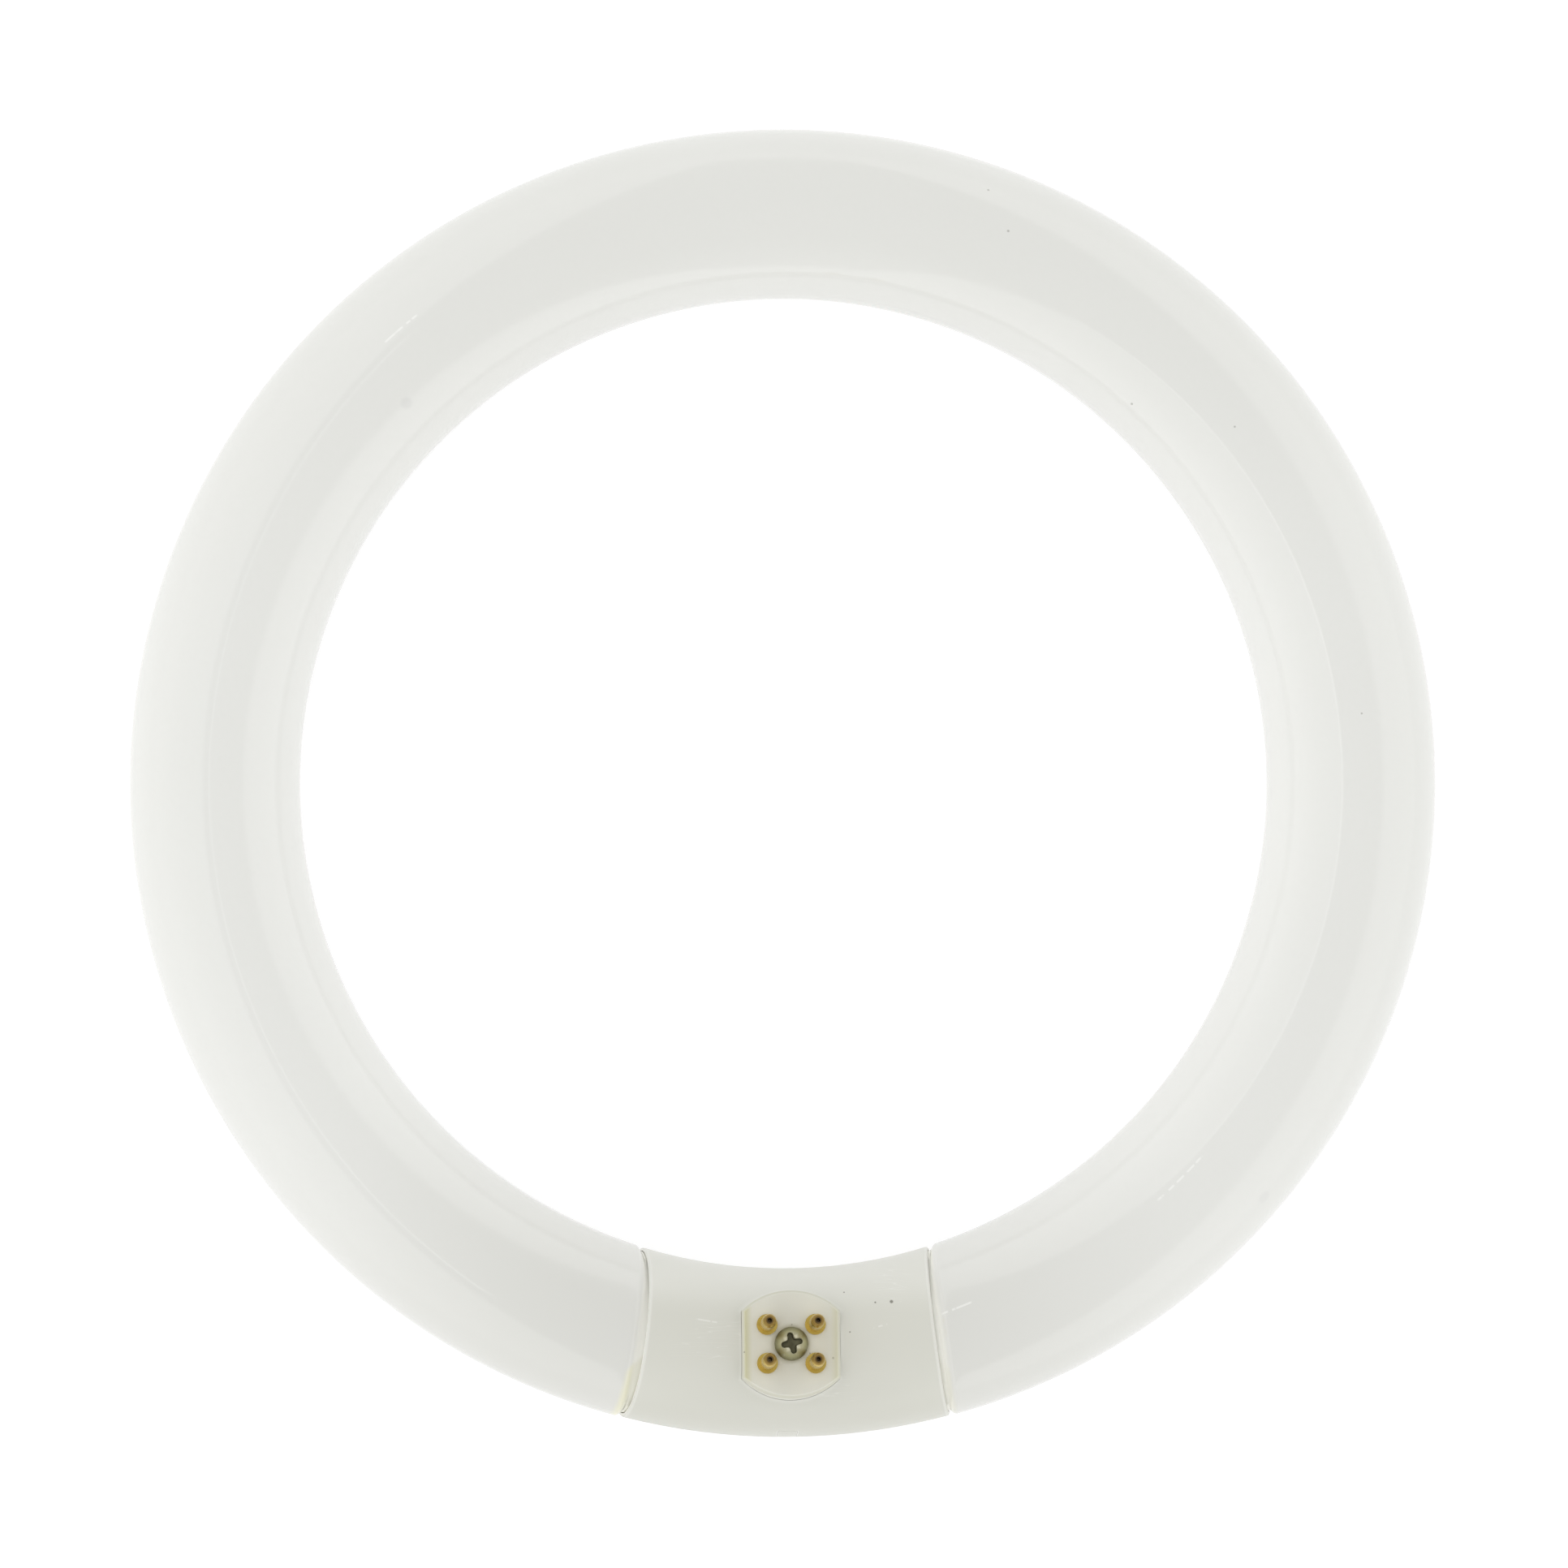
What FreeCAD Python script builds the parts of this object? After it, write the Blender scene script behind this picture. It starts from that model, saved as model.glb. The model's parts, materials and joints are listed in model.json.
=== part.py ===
import FreeCAD, Part
import math
import os

import Sketcher

# Circular fluorescent lamp. A glass ring lies flat on z = 0, centred on the Z axis. Its two
# necked ends meet at -Y inside a two-shell cap, which swivels a little about the necks and
# carries four hollow contact pins on a moulded insert.

doc = FreeCAD.newDocument("circular_lamp")
sheet = doc.addObject("Spreadsheet::Sheet", "sizes")

# Driving dimensions in millimetres and degrees.
SIZES = (
    ("ring_diameter", 216.0, "outside diameter of the glass ring"),
    ("tube_diameter", 28.0, "diameter of the glass tube"),
    ("shoulder_round", 1.3, "rounding where the tube turns in at the cap"),
    ("step_diameter", 25.5, "tube end just inside the mouth of the cap"),
    ("step_depth", 2.0, "how far that end reaches in from the mouth"),
    ("step_round", 0.8, "rounding of that end"),
    ("neck_diameter", 20.5, "narrow neck that carries the cap"),
    ("neck_end", 13.0, "end of the neck from the middle of the cap"),
    ("neck_round", 2.5, "rounding of the neck's end"),
    ("flare_mouth", 13.5, "mouth of the re-entrant flare in the neck's end"),
    ("flare_floor", 11.0, "floor of that flare"),
    ("flare_depth", 7.0, "depth of that flare"),
    ("tip_off_diameter", 3.2, "sealed-off pumping tube in the flare"),
    ("tip_off_point", 1.6, "sealed point of the pumping tube"),
    ("tip_off_length", 5.0, "length of the sealed-off pumping tube"),
    ("cap_reach", 25.4, "mouth of the cap from its middle, along X"),
    ("mouth_angle", 7.5, "turn of each mouth about Z"),
    ("mouth_tilt", 6.9, "lean of each mouth towards the middle at the top"),
    ("cap_lean", 9.0, "lean of the pins towards the ring's axis"),
    ("seam_gap", 0.65, "gap between the tube's shoulder and the cap's rim"),
    ("shell_inset", 0.1, "step down from the tube's surface to the cap's"),
    ("shell_wall", 1.4, "wall of the two shells"),
    ("rim_round", 0.4, "rounding of the shells' rims"),
    ("parting_width", 0.3, "fine groove where the two shells meet"),
    ("parting_depth", 0.3, "depth of that groove"),
    ("rib_place", 19.4, "middle of each bearing rib from the middle of the cap"),
    ("rib_thickness", 1.2, "thickness of the bearing ribs and webs"),
    ("swivel_clearance", 0.35, "room between a bearing rib and its neck"),
    ("mouth_clearance", 0.6, "room between the shells' lips and the tube's end"),
    ("mould_clearance", 0.05, "room between moulded pieces that slide together"),
    ("tongue_width", 3.3, "locating tongue of the rear shell"),
    ("tongue_height", 3.8, "height of that tongue over the parting"),
    ("insert_width", 16.1, "width of the pin insert across its flats"),
    ("insert_height", 17.7, "height of the pin insert over its rounded ends"),
    ("insert_flat", 11.1, "length of the insert's flats"),
    ("insert_proud", 0.8, "height of the insert over the shell's crest"),
    ("insert_chamfer", 0.5, "bevel round the insert's face"),
    ("flange_margin", 1.5, "width of the insert's flange"),
    ("flange_thickness", 1.2, "thickness of the insert's flange"),
    ("flange_top", 6.6, "top of that flange over the tube's axis"),
    ("socket_wall", 1.2, "wall of the socket that holds the insert"),
    ("boss_diameter", 6.4, "screw boss in the rear shell"),
    ("web_top", 5.0, "top of the boss's web below the tube's axis"),
    ("head_diameter", 5.5, "screw head"),
    ("head_height", 1.9, "height of the screw head"),
    ("head_rim", 0.6, "straight rim of the screw head"),
    ("head_flat", 2.4, "flat on top of the screw head"),
    ("screw_diameter", 2.9, "screw shank"),
    ("screw_length", 19.0, "length of the screw under its head"),
    ("screw_point", 2.4, "length of the screw's point"),
    ("thread_clearance", 0.03, "room round the shank and the pins in their holes"),
    ("recess_length", 3.4, "span of the cross recess"),
    ("recess_width", 1.0, "width of the recess's arms"),
    ("recess_depth", 1.4, "depth of the recess"),
    ("recess_turn", 13.0, "turn of the recess about the screw"),
    ("pin_spacing_x", 7.92, "pin spacing along the cap"),
    ("pin_spacing_y", 6.35, "pin spacing across the cap"),
    ("pin_diameter", 2.36, "contact pin"),
    ("pin_length", 7.2, "length of a pin over the insert's face"),
    ("pin_taper", 1.3, "length of the pin's rounded end"),
    ("pin_tip", 1.6, "width of the pin's open end"),
    ("pin_bore", 0.76, "bore that holds the lead"),
    ("pin_collar_diameter", 3.4, "collar on the insert's face"),
    ("pin_collar_height", 0.5, "height of that collar"),
    ("rivet_diameter", 3.0, "flared foot under the insert"),
    ("rivet_height", 0.4, "height of that foot"),
    ("wire_diameter", 0.6, "lead wire"),
    ("wire_inset", 2.0, "end of the lead below the pin's open end"),
    ("wire_bend", 3.5, "bend of the lead inside the cap"),
    ("wire_spread", 4.8, "spacing of the two leads of one neck"),
    ("wire_gap", 0.6, "end of the lead before the flare's floor"),
    ("sleeve_diameter", 1.5, "insulating sleeve"),
    ("sleeve_bore", 0.7, "bore of the sleeve"),
    ("sleeve_gap", 0.3, "end of the sleeve before the pin and the neck"),
)

for row, (alias, value, meaning) in enumerate(SIZES, start=1):
    sheet.set(f"A{row}", meaning)
    sheet.set(f"B{row}", str(value))
    sheet.setAlias(f"B{row}", alias)
doc.recompute()

# Sizes that follow from the driving ones, as expressions.
TUBE_RADIUS = "(sizes.tube_diameter / 2)"
RING_RADIUS = "((sizes.ring_diameter - sizes.tube_diameter) / 2)"
SHELL_RADIUS = f"({TUBE_RADIUS} - sizes.shell_inset)"
BORE_RADIUS = f"({SHELL_RADIUS} - sizes.shell_wall)"
WALL_MIDDLE = f"({SHELL_RADIUS} - sizes.shell_wall / 2)"
MOUTH_TURN = f"asin(sizes.cap_reach / {RING_RADIUS})"
RIB_TURN = f"asin(sizes.rib_place / {RING_RADIUS})"
NECK_TURN = f"asin(sizes.neck_end / {RING_RADIUS})"
CAP_SPAN = f"(2 * {MOUTH_TURN})"
FACE = f"({SHELL_RADIUS} + sizes.insert_proud)"
UNDERSIDE = "(sizes.flange_top - sizes.flange_thickness)"
BLOCK = "(2 * sizes.cap_reach + 2 * sizes.tube_diameter)"
PIN_FOOT = f"({UNDERSIDE} - sizes.rivet_height)"
STRAIGHT = "rotation(0; 0; 0)"
CAP_FRAME = f"placement(vector(0; -{RING_RADIUS}; {TUBE_RADIUS}); rotationx(-sizes.cap_lean))"


def ring_frame(turn, rotation):
    along = f"{RING_RADIUS} * sin({turn})"
    across = f"-{RING_RADIUS} * cos({turn})"
    return f"placement(vector({along}; {across}; {TUBE_RADIUS}); {rotation})"


MOUTH_FRAME = ring_frame(MOUTH_TURN, "rotationz(sizes.mouth_angle) * rotationy(-sizes.mouth_tilt)")
NECK_FRAME = ring_frame(NECK_TURN, f"rotationz({NECK_TURN}) * rotationy(90)")

# How near counts as touching when edges are looked for, and the points tried along an edge.
NEAR = 1e-4
EDGE_SAMPLES = 9
FULL_TURN = 360

# How a sketch numbers its own axes and the points of a line, arc or circle.
SKETCH_X, SKETCH_Y = range(-1, -3, -1)
START, END, CENTRE = range(1, 4)
UPWARD = FreeCAD.Vector(0, 0, 1)


def number(expression):
    return float(sheet.evalExpression(expression))


def bind(thing, **sizes):
    for name, expression in sizes.items():
        thing.setExpression(name, expression)
    return thing


def offset(frame, x="0", y="0", z="0", turn=STRAIGHT):
    return f"{frame} * placement(vector({x}; {y}; {z}); {turn})"


def boolean(kind, name, base, tool):
    result = doc.addObject(kind, name)
    result.Base = base
    result.Tool = tool
    return result


def cut(name, base, tool):
    return boolean("Part::Cut", name, base, tool)


def common(name, base, tool):
    return boolean("Part::Common", name, base, tool)


def fuse(name, *pieces):
    result = doc.addObject("Part::MultiFuse", name)
    result.Shapes = list(pieces)
    result.Refine = True
    return result


def mirrored(name, source):
    result = doc.addObject("Part::Mirroring", name)
    result.Source = source
    result.Normal = (1, 0, 0)
    return result


def rounded(name, base, radius, wanted):
    doc.recompute()
    size = number(radius)
    result = doc.addObject("Part::Fillet", name)
    result.Base = base
    result.Edges = [
        (index, size, size) for index, edge in enumerate(base.Shape.Edges, start=1) if wanted(edge)
    ]
    return result


def box(name, length, width, height, place):
    return bind(
        doc.addObject("Part::Box", name), Length=length, Width=width, Height=height, Placement=place
    )


def cylinder(name, radius, height, place):
    return bind(doc.addObject("Part::Cylinder", name), Radius=radius, Height=height, Placement=place)


def ring_stretch(name, section, start, sweep):
    place = f"placement(vector(0; 0; {TUBE_RADIUS}); rotationz({start}))"
    return bind(
        doc.addObject("Part::Torus", name),
        Radius1=RING_RADIUS,
        Radius2=section,
        Angle3=sweep,
        Placement=place,
    )


def cap_stretch(name, section):
    return ring_stretch(name, section, f"-90 deg - {CAP_SPAN}", f"2 * {CAP_SPAN}")


def between_mouths(name, reach):
    place = offset(MOUTH_FRAME, f"{reach} - {BLOCK}", f"-{BLOCK} / 2", f"-{BLOCK} / 2")
    right = box(f"{name}_right", BLOCK, BLOCK, BLOCK, place)
    return common(name, right, mirrored(f"{name}_left", right))


def cap_block(name, width, depth, low, high, y="0"):
    place = offset(CAP_FRAME, f"-({width}) / 2", f"{y} - ({depth}) / 2", low)
    return box(name, width, depth, f"({high}) - ({low})", place)


def cap_cylinder(name, diameter, low, high):
    return cylinder(name, f"({diameter}) / 2", f"({high}) - ({low})", offset(CAP_FRAME, z=low))


# Sketches: corners are pairs of expressions, each bound to the sheet.
def pin_point(sketch, geometry, end, x, y):
    for kind, value, axis in (("DistanceX", x, SKETCH_Y), ("DistanceY", y, SKETCH_X)):
        if value == "0":
            sketch.addConstraint(Sketcher.Constraint("PointOnObject", geometry, end, axis))
            continue
        rule = Sketcher.Constraint(kind, SKETCH_X, START, geometry, end, number(value))
        sketch.setExpression(f"Constraints[{sketch.addConstraint(rule)}]", value)


def size_rule(sketch, kind, geometry, value):
    rule = Sketcher.Constraint(kind, geometry, number(value))
    sketch.setExpression(f"Constraints[{sketch.addConstraint(rule)}]", value)


def bend_between(first, last, radius):
    half = (last - first) * 0.5
    inward = FreeCAD.Vector(-half.y, half.x, 0).normalize()
    centre = first + half + inward * math.sqrt(max(radius**2 - half.Length**2, 0))
    start = math.atan2(first.y - centre.y, first.x - centre.x)
    end = math.atan2(last.y - centre.y, last.x - centre.x)
    circle = Part.Circle(centre, UPWARD, radius)
    return Part.ArcOfCircle(circle, start, end if end > start else end + 2 * math.pi)


def draw(sketch, corners, bends=None, closed=True):
    bends = bends or {}
    points = [FreeCAD.Vector(number(x), number(y), 0) for x, y in corners]
    sides = len(corners) if closed else len(corners) - 1
    for side in range(sides):
        first, last = points[side], points[(side + 1) % len(points)]
        if side in bends:
            sketch.addGeometry(bend_between(first, last, number(bends[side])))
        else:
            sketch.addGeometry(Part.LineSegment(first, last))
    for side, corner in enumerate(corners[:sides]):
        pin_point(sketch, side, START, *corner)
        if closed or side:
            before = (side - 1) % sides
            sketch.addConstraint(Sketcher.Constraint("Coincident", before, END, side, START))
    if not closed:
        pin_point(sketch, sides - 1, END, *corners[-1])
    for side, radius in bends.items():
        size_rule(sketch, "Radius", side, radius)


def draw_circles(sketch, circles):
    for x, y, diameter in circles:
        centre = FreeCAD.Vector(number(x), number(y), 0)
        circle = Part.Circle(centre, UPWARD, number(diameter) / 2)
        geometry = sketch.addGeometry(circle)
        pin_point(sketch, geometry, CENTRE, x, y)
        size_rule(sketch, "Diameter", geometry, diameter)


def new_body(name, place):
    return bind(doc.addObject("PartDesign::Body", name), Placement=place)


def new_sketch(body, name, role, lift="0"):
    sketch = body.newObject("Sketcher::SketchObject", name)
    plane = next(feature for feature in body.Origin.OriginFeatures if feature.Role == role)
    sketch.AttachmentSupport = [(plane, "")]
    sketch.MapMode = "FlatFace"
    sketch.setExpression("AttachmentOffset.Base.z", lift)
    return sketch


def feature(body, kind, name, profile):
    made = body.newObject(f"PartDesign::{kind}", name)
    made.Profile = profile
    return made


def revolve(body, name, corners, bends=None):
    sketch = new_sketch(body, f"{name}_outline", "XZ_Plane")
    draw(sketch, corners, bends)
    turned = feature(body, "Revolution", name, sketch)
    turned.ReferenceAxis = (sketch, ["V_Axis"])
    turned.Angle = FULL_TURN
    return turned


def insert_outline(sketch, grow):
    half_width = f"(sizes.insert_width / 2 + {grow})"
    half_flat = "(sizes.insert_flat / 2)"
    rise = f"((sizes.insert_height - sizes.insert_flat) / 2 + {grow})"
    radius = f"({half_width}^2 + {rise}^2) / (2 * {rise})"
    corners = [
        (half_width, f"-{half_flat}"),
        (half_width, half_flat),
        (f"-{half_width}", half_flat),
        (f"-{half_width}", f"-{half_flat}"),
    ]
    draw(sketch, corners, {1: radius, 3: radius})


def insert_prism(name, grow, low, high):
    body = new_body(name, CAP_FRAME)
    sketch = new_sketch(body, f"{name}_outline", "XY_Plane", low)
    insert_outline(sketch, grow)
    bind(feature(body, "Pad", f"{name}_pad", sketch), Length=f"({high}) - ({low})")
    return body


def on_plane(edge, frame, reach, radius):
    place = sheet.evalExpression(frame)
    normal = place.Rotation.multVec(FreeCAD.Vector(1, 0, 0))
    level = place.Base.dot(normal) + number(reach)
    for side in (1, -1):
        facing = FreeCAD.Vector(side * normal.x, normal.y, normal.z)
        spread = [abs(point.dot(facing) - level) for point in edge.discretize(EDGE_SAMPLES)]
        if max(spread) < NEAR and edge.Length > 2 * number(radius):
            return True
    return False


# Glass: the ring between the two mouths is cut away, its shoulders are rounded, and the
# stepped necks reach into the cap. Each neck ends in a re-entrant flare with its sealed tip.
full_ring = ring_stretch("full_ring", TUBE_RADIUS, "0", str(FULL_TURN))
open_ring = cut("open_ring", full_ring, between_mouths("cap_room", "sizes.seam_gap"))
ring = rounded(
    "ring",
    open_ring,
    "sizes.shoulder_round",
    lambda edge: on_plane(edge, MOUTH_FRAME, "sizes.seam_gap", TUBE_RADIUS),
)

step_stretch = cap_stretch("step_stretch", "sizes.step_diameter / 2")
cut_steps = cut("cut_steps", step_stretch, between_mouths("step_room", "-sizes.step_depth"))
steps = rounded(
    "steps",
    cut_steps,
    "sizes.step_round",
    lambda edge: on_plane(edge, MOUTH_FRAME, "-sizes.step_depth", "sizes.step_diameter / 2"),
)

neck_stretch = ring_stretch(
    "neck_stretch", "sizes.neck_diameter / 2", f"{NECK_TURN} - 90 deg", f"{CAP_SPAN} - {NECK_TURN}"
)


def at_neck_end(edge):
    place = sheet.evalExpression(NECK_FRAME)
    return place.inverse().multVec(edge.CenterOfMass).Length < number("sizes.neck_round")


round_neck = rounded("round_neck", neck_stretch, "sizes.neck_round", at_neck_end)
flare = bind(
    doc.addObject("Part::Cone", "flare"),
    Radius1="sizes.flare_mouth / 2",
    Radius2="sizes.flare_floor / 2",
    Height="sizes.flare_depth",
    Placement=NECK_FRAME,
)
tip_off = bind(
    doc.addObject("Part::Cone", "tip_off"),
    Radius1="sizes.tip_off_point / 2",
    Radius2="sizes.tip_off_diameter / 2",
    Height="sizes.tip_off_length + sizes.neck_round",
    Placement=offset(NECK_FRAME, z="sizes.flare_depth - sizes.tip_off_length"),
)
right_neck = fuse("right_neck", cut("open_neck", round_neck, flare), tip_off)
glass_tube = fuse("glass_tube", ring, steps, right_neck, mirrored("left_neck", right_neck))

# Cap: one curved wall between the mouths, with a bearing rib round each neck, parted by a
# plane square to the pins.
cap_tube = cut(
    "cap_tube", cap_stretch("cap_outside", SHELL_RADIUS), cap_stretch("cap_inside", BORE_RADIUS)
)
cap_wall = rounded(
    "cap_wall",
    common("square_wall", cap_tube, between_mouths("cap_zone", "0")),
    "sizes.rim_round",
    lambda edge: on_plane(edge, MOUTH_FRAME, "0", BORE_RADIUS),
)
cap_core = cap_stretch("cap_core", WALL_MIDDLE)
rib_plate = box(
    "rib_plate",
    "sizes.rib_thickness",
    BLOCK,
    BLOCK,
    f"placement(vector(sizes.rib_place - sizes.rib_thickness / 2; -{RING_RADIUS} - {BLOCK} / 2;"
    f" {TUBE_RADIUS} - {BLOCK} / 2); {STRAIGHT})",
)
RIB_HOLE = (
    f"sizes.neck_diameter / 2 / cos({RIB_TURN}) + sizes.rib_thickness / 2 * tan({RIB_TURN})"
    " + sizes.swivel_clearance"
)
neck_hole = cylinder(
    "neck_hole",
    RIB_HOLE,
    "2 * sizes.rib_place",
    f"placement(vector(0; -{RING_RADIUS} * cos({RIB_TURN}); {TUBE_RADIUS}); rotationy(90))",
)
right_rib = cut("right_rib", common("rib_disc", cap_core, rib_plate), neck_hole)
ribbed_wall = fuse("ribbed_wall", cap_wall, right_rib, mirrored("left_rib", right_rib))
STEP_ROOM = "(sizes.step_depth + sizes.seam_gap)"
mouth_room = cut(
    "mouth_room",
    cap_stretch("mouth_stretch", "sizes.step_diameter / 2 + sizes.mouth_clearance"),
    between_mouths("inner_zone", f"-{STEP_ROOM}"),
)
cap_shell = cut("cap_shell", ribbed_wall, mouth_room)

front_half = cap_block("front_half", BLOCK, BLOCK, "0", BLOCK)
rear_half = cap_block("rear_half", BLOCK, BLOCK, f"-{BLOCK}", "0")
TONGUE_MIDDLE = f"-{WALL_MIDDLE}"
TONGUE_REACH = "(4 * sizes.shell_wall)"
tongue_slot = cap_block(
    "tongue_slot",
    "sizes.tongue_width",
    TONGUE_REACH,
    "-sizes.tongue_height",
    "sizes.tongue_height",
    TONGUE_MIDDLE,
)
tongue_room = cap_block(
    "tongue_room",
    "sizes.tongue_width - 2 * sizes.mould_clearance",
    TONGUE_REACH,
    "-sizes.tongue_height",
    "sizes.tongue_height - sizes.mould_clearance",
    TONGUE_MIDDLE,
)

# Front shell: a window over a socket that seats on the insert's flange.
SOCKET_GROW = "(sizes.mould_clearance + sizes.socket_wall)"
socket_prism = insert_prism("socket_prism", SOCKET_GROW, "sizes.flange_top", BLOCK)
socket = common("socket", socket_prism, cap_core)
window = insert_prism("window", "sizes.mould_clearance", "0", BLOCK)
front_wall = common("front_wall", cap_shell, front_half)
front_notched = cut("front_notched", front_wall, tongue_slot)
front_windowed = cut("front_windowed", fuse("front_socketed", front_notched, socket), window)
FLANGE_GROW = "(sizes.flange_margin + sizes.mould_clearance)"
FLANGE_FLOOR = f"({UNDERSIDE} - sizes.mould_clearance)"
flange_room = insert_prism("flange_room", FLANGE_GROW, FLANGE_FLOOR, "sizes.flange_top")
front_shell = cut("front_shell", front_windowed, flange_room)

# Rear shell: a fine groove round its parting, the screw boss on its web, and the tongue that
# locates the front shell.
boss = cap_cylinder("boss", "sizes.boss_diameter", f"-{WALL_MIDDLE}", UNDERSIDE)
web_plate = cap_block(
    "web_plate", "sizes.rib_thickness", BLOCK, f"-{SHELL_RADIUS}", "-sizes.web_top"
)
web = common("web", cap_core, web_plate)
tongue = common("tongue", cap_wall, tongue_room)
parting_groove = cut(
    "parting_groove",
    cap_block("parting_slab", BLOCK, BLOCK, "-sizes.parting_width", "sizes.parting_width"),
    cap_stretch("groove_floor", f"{SHELL_RADIUS} - sizes.parting_depth"),
)
rear_wall = cut("rear_wall", common("rear_blank", cap_shell, rear_half), parting_groove)
pilot = cap_cylinder(
    "pilot",
    "sizes.screw_diameter + 2 * sizes.thread_clearance",
    f"{FACE} - sizes.screw_length - sizes.screw_point / 2",
    FACE,
)
rear_shell = cut("rear_shell", fuse("rear_bossed", rear_wall, boss, web, tongue), pilot)

# Pin insert: a bevelled block on a flange, drilled for the pins and the screw.
pin_insert = new_body("pin_insert", CAP_FRAME)
flange_sketch = new_sketch(pin_insert, "flange_outline", "XY_Plane", UNDERSIDE)
insert_outline(flange_sketch, "sizes.flange_margin")
bind(feature(pin_insert, "Pad", "flange", flange_sketch), Length="sizes.flange_thickness")
block_sketch = new_sketch(pin_insert, "block_outline", "XY_Plane", UNDERSIDE)
insert_outline(block_sketch, "0")
block = bind(feature(pin_insert, "Pad", "block", block_sketch), Length=f"{FACE} - {UNDERSIDE}")
doc.recompute()

face_level = number(FACE)
top_edges = [
    f"Edge{index}"
    for index, edge in enumerate(block.Shape.Edges, start=1)
    if all(abs(vertex.Point.z - face_level) < NEAR for vertex in edge.Vertexes)
]
bevel = pin_insert.newObject("PartDesign::Chamfer", "bevel")
bevel.Base = (block, top_edges)
bind(bevel, Size="sizes.insert_chamfer")

PIN_PLACES = [
    (f"{side_x} * sizes.pin_spacing_x / 2", f"{side_y} * sizes.pin_spacing_y / 2", side_x, side_y)
    for side_x in (1, -1)
    for side_y in (1, -1)
]
PIN_HOLE = "sizes.pin_diameter + 2 * sizes.thread_clearance"
SCREW_HOLE = "sizes.screw_diameter + 2 * sizes.mould_clearance"
hole_sketch = new_sketch(pin_insert, "hole_places", "XY_Plane", FACE)
draw_circles(hole_sketch, [(x, y, PIN_HOLE) for x, y, _, _ in PIN_PLACES] + [("0", "0", SCREW_HOLE)])
holes = feature(pin_insert, "Pocket", "holes", hole_sketch)
bind(holes, Length=f"{FACE} - {UNDERSIDE}")

# Contact pins: hollow, with a collar on the face and a flared foot under the insert.
PIN_RADIUS = "sizes.pin_diameter / 2"
PIN_STEP = "(sizes.pin_diameter - sizes.pin_tip) / 2"
PIN_SOLE = f"({PIN_FOOT} - {FACE})"
PIN_OUTLINE = [
    ("sizes.pin_bore / 2", PIN_SOLE),
    ("sizes.rivet_diameter / 2", PIN_SOLE),
    ("sizes.rivet_diameter / 2", f"{UNDERSIDE} - {FACE}"),
    (PIN_RADIUS, f"{UNDERSIDE} - {FACE}"),
    (PIN_RADIUS, "0"),
    ("sizes.pin_collar_diameter / 2", "0"),
    ("sizes.pin_collar_diameter / 2", "sizes.pin_collar_height"),
    (PIN_RADIUS, "sizes.pin_collar_height"),
    (PIN_RADIUS, "sizes.pin_length - sizes.pin_taper"),
    ("sizes.pin_tip / 2", "sizes.pin_length"),
    ("sizes.pin_bore / 2", "sizes.pin_length"),
]
TAPER_SIDE = 8
TAPER_RADIUS = f"({PIN_STEP}^2 + sizes.pin_taper^2) / (2 * {PIN_STEP})"

contact_pins = []
for x, y, _, _ in PIN_PLACES:
    pin = new_body(f"contact_pin_{len(contact_pins) + 1}", offset(CAP_FRAME, x, y, FACE))
    revolve(pin, "pin_turning", PIN_OUTLINE, {TAPER_SIDE: TAPER_RADIUS})
    contact_pins.append(pin)

# Cap screw: a pan head with a cross recess, through the insert into the rear shell's boss.
cap_screw = new_body("cap_screw", offset(CAP_FRAME, z=FACE, turn="rotationz(sizes.recess_turn)"))
HEAD_RISE = "(sizes.head_height - sizes.head_rim)"
HEAD_RUN = "((sizes.head_diameter - sizes.head_flat) / 2)"
SCREW_OUTLINE = [
    ("0", "-sizes.screw_length"),
    ("sizes.screw_diameter / 2", "sizes.screw_point - sizes.screw_length"),
    ("sizes.screw_diameter / 2", "0"),
    ("sizes.head_diameter / 2", "0"),
    ("sizes.head_diameter / 2", "sizes.head_rim"),
    ("sizes.head_flat / 2", "sizes.head_height"),
    ("0", "sizes.head_height"),
]
DOME_SIDE = 4
revolve(cap_screw, "screw_turning", SCREW_OUTLINE, {DOME_SIDE: f"sqrt({HEAD_RISE}^2 + {HEAD_RUN}^2)"})
slot_sketch = new_sketch(cap_screw, "slot_outline", "XY_Plane", "sizes.head_height")
HALF_LENGTH = "sizes.recess_length / 2"
HALF_WIDTH = "sizes.recess_width / 2"
draw(
    slot_sketch,
    [
        (f"-{HALF_LENGTH}", f"-{HALF_WIDTH}"),
        (HALF_LENGTH, f"-{HALF_WIDTH}"),
        (HALF_LENGTH, HALF_WIDTH),
        (f"-{HALF_LENGTH}", HALF_WIDTH),
    ],
)
slot = bind(feature(cap_screw, "Pocket", "slot", slot_sketch), Length="sizes.recess_depth")
cross = cap_screw.newObject("PartDesign::PolarPattern", "cross")
cross.Originals = [slot]
cross.Axis = (slot_sketch, ["N_Axis"])
cross.Angle = FULL_TURN / 4
cross.Occurrences = 2
cap_screw.Tip = cross

# Leads: from each pin's bore down through the cap and out to the flare of the nearer neck,
# in an insulating sleeve over the open stretch.
NECK_SAG = f"({RING_RADIUS} * (1 - cos({NECK_TURN})))"
REACH_IN = "(sizes.flare_depth - sizes.wire_gap)"
FLOOR_X = f"(sizes.neck_end + {REACH_IN} * cos({NECK_TURN}))"
FLOOR_Y = f"(({NECK_SAG} + {REACH_IN} * sin({NECK_TURN})) * cos(sizes.cap_lean))"
RUN_LEVEL = f"({NECK_SAG} * sin(sizes.cap_lean))"
WIRE_TOP = f"({FACE} + sizes.pin_length - sizes.wire_inset)"


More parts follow.
